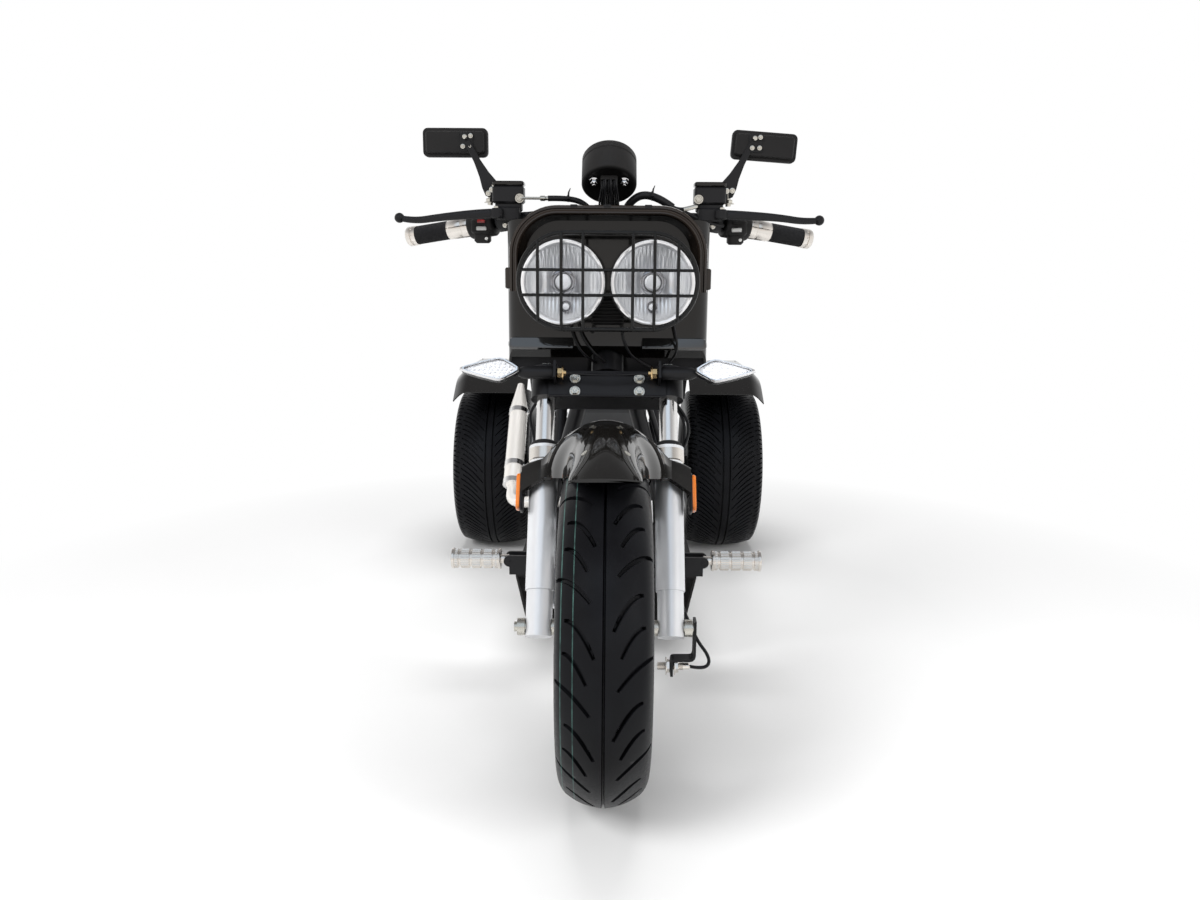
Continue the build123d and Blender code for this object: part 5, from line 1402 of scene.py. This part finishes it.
SHOCK_LOW = np.array((140, 1325, 284.0))
SHOCK_HIGH = np.array((140, 1215, 515.0))
COIL_TURN = 7.5 * FULL_TURN
SHOCK_EYE = ((0, 10), (0, 13), (1, 14), (25, 14), (26, 13), (26, 10))


def shocks():
    spring, rods, ends = shapes(3)
    axis, length = unit(SHOCK_HIGH - SHOCK_LOW), np.linalg.norm(SHOCK_HIGH - SHOCK_LOW)
    first, second = across(axis)
    coil = []
    for turn in np.linspace(0, COIL_TURN, 196):
        middle = SHOCK_LOW + axis * length * (0.22 + 0.58 * turn / COIL_TURN)
        coil.append(middle + 22.5 * (first * math.cos(turn) + second * math.sin(turn)))
    spring.tube(coil, 4.2, 10)
    rod = ((8, 14), (30, 17), (length * 0.62, 17), (length * 0.63, 8), (length - 8, 8))
    rods.lathe(SHOCK_LOW, axis, rod, 32)
    for start, end in ((0.195, 0.22), (0.80, 0.825)):
        start, end = start * length, end * length
        ends.lathe(SHOCK_LOW, axis, ((start, 20), (start + 1, 27), (end - 1, 27), (end, 20)), 40)
    for at in (SHOCK_LOW, SHOCK_HIGH):
        ends.lathe(at - (13, 0, 0), RIGHT, SHOCK_EYE, 32)
        ends.bolt(at + (13, 0, 0), RIGHT, 8, 6, 2)
    spring.mirrored().build("shock_springs", SPRING_STEEL, "chassis", "shock_steel", "rear_shocks")
    rods.mirrored().build("shock_dampers", SATIN_BLACK, "chassis", "shock_steel")
    ends.mirrored().build("shock_ends", CAST_ALLOY, "chassis", "shock_steel")


TAIL_AT = np.array((0, 1514, 554))
# Width, height and corner radius
TAIL_SHELL = (184, 76, 12)
TAIL_FACE = (172, 64, 8)
# Place along Y from the shell's front, and inset
TAIL_LENS = ((16, 0), (30, 0), (33, 3), (34, 9))
TAIL_RIB = ((-0.8, 32, -28), (0.8, 34.4, 28), 0.3)
TAIL_RIBS = np.arange(-78, 79, 12)


def tail_lamp():
    shell, lens = shapes(2)
    shell.plate(round_rect(*TAIL_SHELL), TAIL_AT, RIGHT, UP, -18, 2)
    face = round_rect(*TAIL_FACE)
    levels = [(inset(face, less), y) for y, less in TAIL_LENS]
    lens.stack(levels, lambda x, z, y: TAIL_AT + (x, y, z))
    for x in TAIL_RIBS:
        lens.box(*TAIL_RIB, at=TAIL_AT + (x, 0, 0))
    shell.build("tail_lamp_shell", MATT_PLASTIC, "chassis", "black_plastic", "tail_lamp")
    lens.build("tail_lamp_lens", RED, "chassis", "red_lens", sharp=8)


FLOOR_RIB = ((-4, 474, 199.4), (4, 755, 202), 0.8, 3)
FLOOR_RIBS = np.arange(-98, 99, 14)


def floor_mat():
    mat = Shape()
    for x in FLOOR_RIBS:
        mat.box(*FLOOR_RIB, at=RIGHT * x)
    mat.build("floor_ribs", GRIP_RUBBER, "chassis", "grip_rubber")


NUTS_OUT = 40
NUTS_R = 26


def wheel_trim():
    for side, hand in HANDS:
        bolts = Shape()
        middle = box_middle(f"rear_rim_{hand}") + (side * NUTS_OUT, 0, 0)
        for spot in middle + NUTS_R * circle(4, unit(BACK + UP), unit(UP - BACK)):
            bolts.bolt(spot, (side, 0, 0), 7, 7, 2)
        bolts.build(f"rear_wheel_nuts_{hand}", ZINC, f"rear_wheel_{hand}", "zinc_steel")


FIN = ((-86, 868, 0), (86, 884, 4), 1)
FIN_HEIGHTS = range(300, 417, 13)
COVER_AT = np.array((146, 1111, 288))
COVER_THICK = 5
COVER_DISC = ((0, 46), (3, 45), (4, 40), (4, 20), (2, 18))


def engine_trim():
    """Fins round the cylinder, the belt case's raised cover, and its screws."""
    fins, cover, screws = shapes(3)
    for z in FIN_HEIGHTS:
        fins.box(*FIN, at=UP * z)
    cover.plate(round_rect(282, 148, 60, 9), COVER_AT, BACK, UP, COVER_THICK, 2)
    cover.lathe(COVER_AT + (COVER_THICK, 79, 0), RIGHT, COVER_DISC, 48)
    for spot in COVER_AT + (COVER_THICK, 0, 0) + circle(10, BACK * 128, UP * 62):
        screws.bolt(spot, RIGHT, 4.5, 3.4, 1)
    # The fins get the cast alloy darkened with painted shade, unlike the light alloy of the belt cover
    fins.build("engine_fins", ALLOY_PAINTED_SHADE, "chassis", "cast_alloy")
    cover.build("belt_cover", CAST_ALLOY, "chassis", "cast_alloy")
    screws.build("belt_cover_screws", ZINC, "chassis", "zinc_steel")


PARTS = (
    tyres, front_fender, fender_reflectors, headlamps, lamp_guard, cowl, shield_trim, fork_trim, signals,
    grips, levers, master_cylinders, switches, mirrors, gauge, pegs, exhaust, rear_fenders, bar_cables,
    signal_lead, wheel_sensor, seat_cushion, shocks, tail_lamp, floor_mat, wheel_trim, engine_trim,
)
for make in PARTS:
    make()


# Stage, light and camera

FLOOR_HALF = 9.0
FLOOR_GLOW = 0.03
# The floor turns white between these distances from the middle, in metres
WHITE_FROM, WHITE_TO = 0.8, 1.7
WHITE = (1.0, 1.0, 1.0)


def stage():
    mesh = bpy.data.meshes.new("floor")
    corners = [(x * FLOOR_HALF, y * FLOOR_HALF, 0) for x, y in ((-1, -1), (1, -1), (1, 1), (-1, 1))]
    mesh.from_pydata(corners, [], [(0, 1, 2, 3)])
    floor = new_object("floor", mesh)
    made = Surface("pale_floor", (0.70, 0.70, 0.70), 0.9)
    made.set("Specular IOR Level", 0.0)
    path = made.new("ShaderNodeLightPath").outputs
    seen = made.math("MAXIMUM", path["Is Camera Ray"], path["Is Glossy Ray"])
    seen = made.math("MAXIMUM", seen, path["Is Transmission Ray"])
    made.set("Emission Color", (*WHITE, 1.0))
    made.set("Emission Strength", made.math("MULTIPLY", seen, FLOOR_GLOW))
    made.set("Base Color", made.mix(made.noise(3), (0.69, 0.69, 0.69), (0.71, 0.71, 0.71)))
    far = made.new("ShaderNodeVectorMath", ((0, made.place),), operation="LENGTH").outputs["Value"]
    white = made.new("ShaderNodeEmission", (("Strength", seen),)).outputs[0]
    made.blend(made.spread(far, 0, 1, WHITE_FROM, WHITE_TO), made.shader.outputs[0], white)
    mesh.materials.append(made.material)


LIGHT_TARGET = Vector((0, -0.2, 0.55))
# Name, place, width and height in metres, watts
LIGHTS = (
    ("key", (-2.2, -2.6, 2.6), (1.6, 1.6), 135),
    ("fill", (2.6, -2.2, 1.7), (1.2, 1.8), 70),
    ("top", (0, 0.4, 3.2), (2.0, 2.0), 76),
)
# What mirrored surfaces see: direction, where it starts and is full, colour
WALLS = (
    (FORWARD, -0.1, 0.9, (0.92, 0.88, 0.85)),
    (UP, 0.3, 0.85, (0.30, 0.30, 0.31)),
    ((-0.1, -0.75, 0.66), 0.84, 0.95, (0.78, 0.88, 1.0)),
)
SOFT_LIGHT = (0.30, 0.30, 0.30)


def area_light(name, place, size, power):
    light = bpy.data.lights.new(name, "AREA")
    light.shape = "RECTANGLE"
    light.size, light.size_y = size
    light.energy = power
    lamp = new_object(name, light)
    lamp.location = place
    lamp.visible_glossy = False
    lamp.rotation_euler = (LIGHT_TARGET - Vector(place)).to_track_quat("-Z", "Y").to_euler()


def studio():
    """White to the camera and glass; mirrored surfaces see a front wall, a dark ceiling and a window."""
    world = bpy.data.worlds.new("studio")
    bpy.context.scene.world = world
    world.use_nodes = True
    room = Nodes(world.node_tree)
    look = room.new("ShaderNodeTexCoord").outputs["Generated"]
    path = room.new("ShaderNodeLightPath").outputs
    walls = WHITE
    for direction, start, end, colour in WALLS:
        turn = room.new("ShaderNodeVectorMath", ((0, look), (1, unit(direction))), operation="DOT_PRODUCT")
        walls = room.mix(room.spread(turn.outputs["Value"], 0.0, 1.0, start, end), walls, colour)
    shade = room.mix(path["Is Glossy Ray"], SOFT_LIGHT, walls)
    clear = room.math("MAXIMUM", path["Is Camera Ray"], path["Is Transmission Ray"])
    room.plug(room.tree.nodes["Background"].inputs["Color"], room.mix(clear, shade, WHITE))
    for light in LIGHTS:
        area_light(*light)


CAMERA_AT = (0.005, -1.989, 0.790)
CAMERA_PITCH = 11.0
CAMERA_YAW = 0.6
CAMERA_ROLL = 0.4
CAMERA_LENS = 28.08


def camera():
    lens = bpy.data.cameras.new("camera")
    lens.lens = CAMERA_LENS
    lens.sensor_width = 36
    eye = new_object("camera", lens)
    turn = Matrix.Translation(CAMERA_AT)
    for degrees, axis in ((CAMERA_YAW, "Z"), (90 - CAMERA_PITCH, "X"), (CAMERA_ROLL, "Z")):
        turn = turn @ Matrix.Rotation(math.radians(degrees), 4, axis)
    eye.matrix_world = turn
    bpy.context.scene.camera = eye


stage()
studio()
camera()
bpy.context.scene.view_settings.view_transform = "Standard"
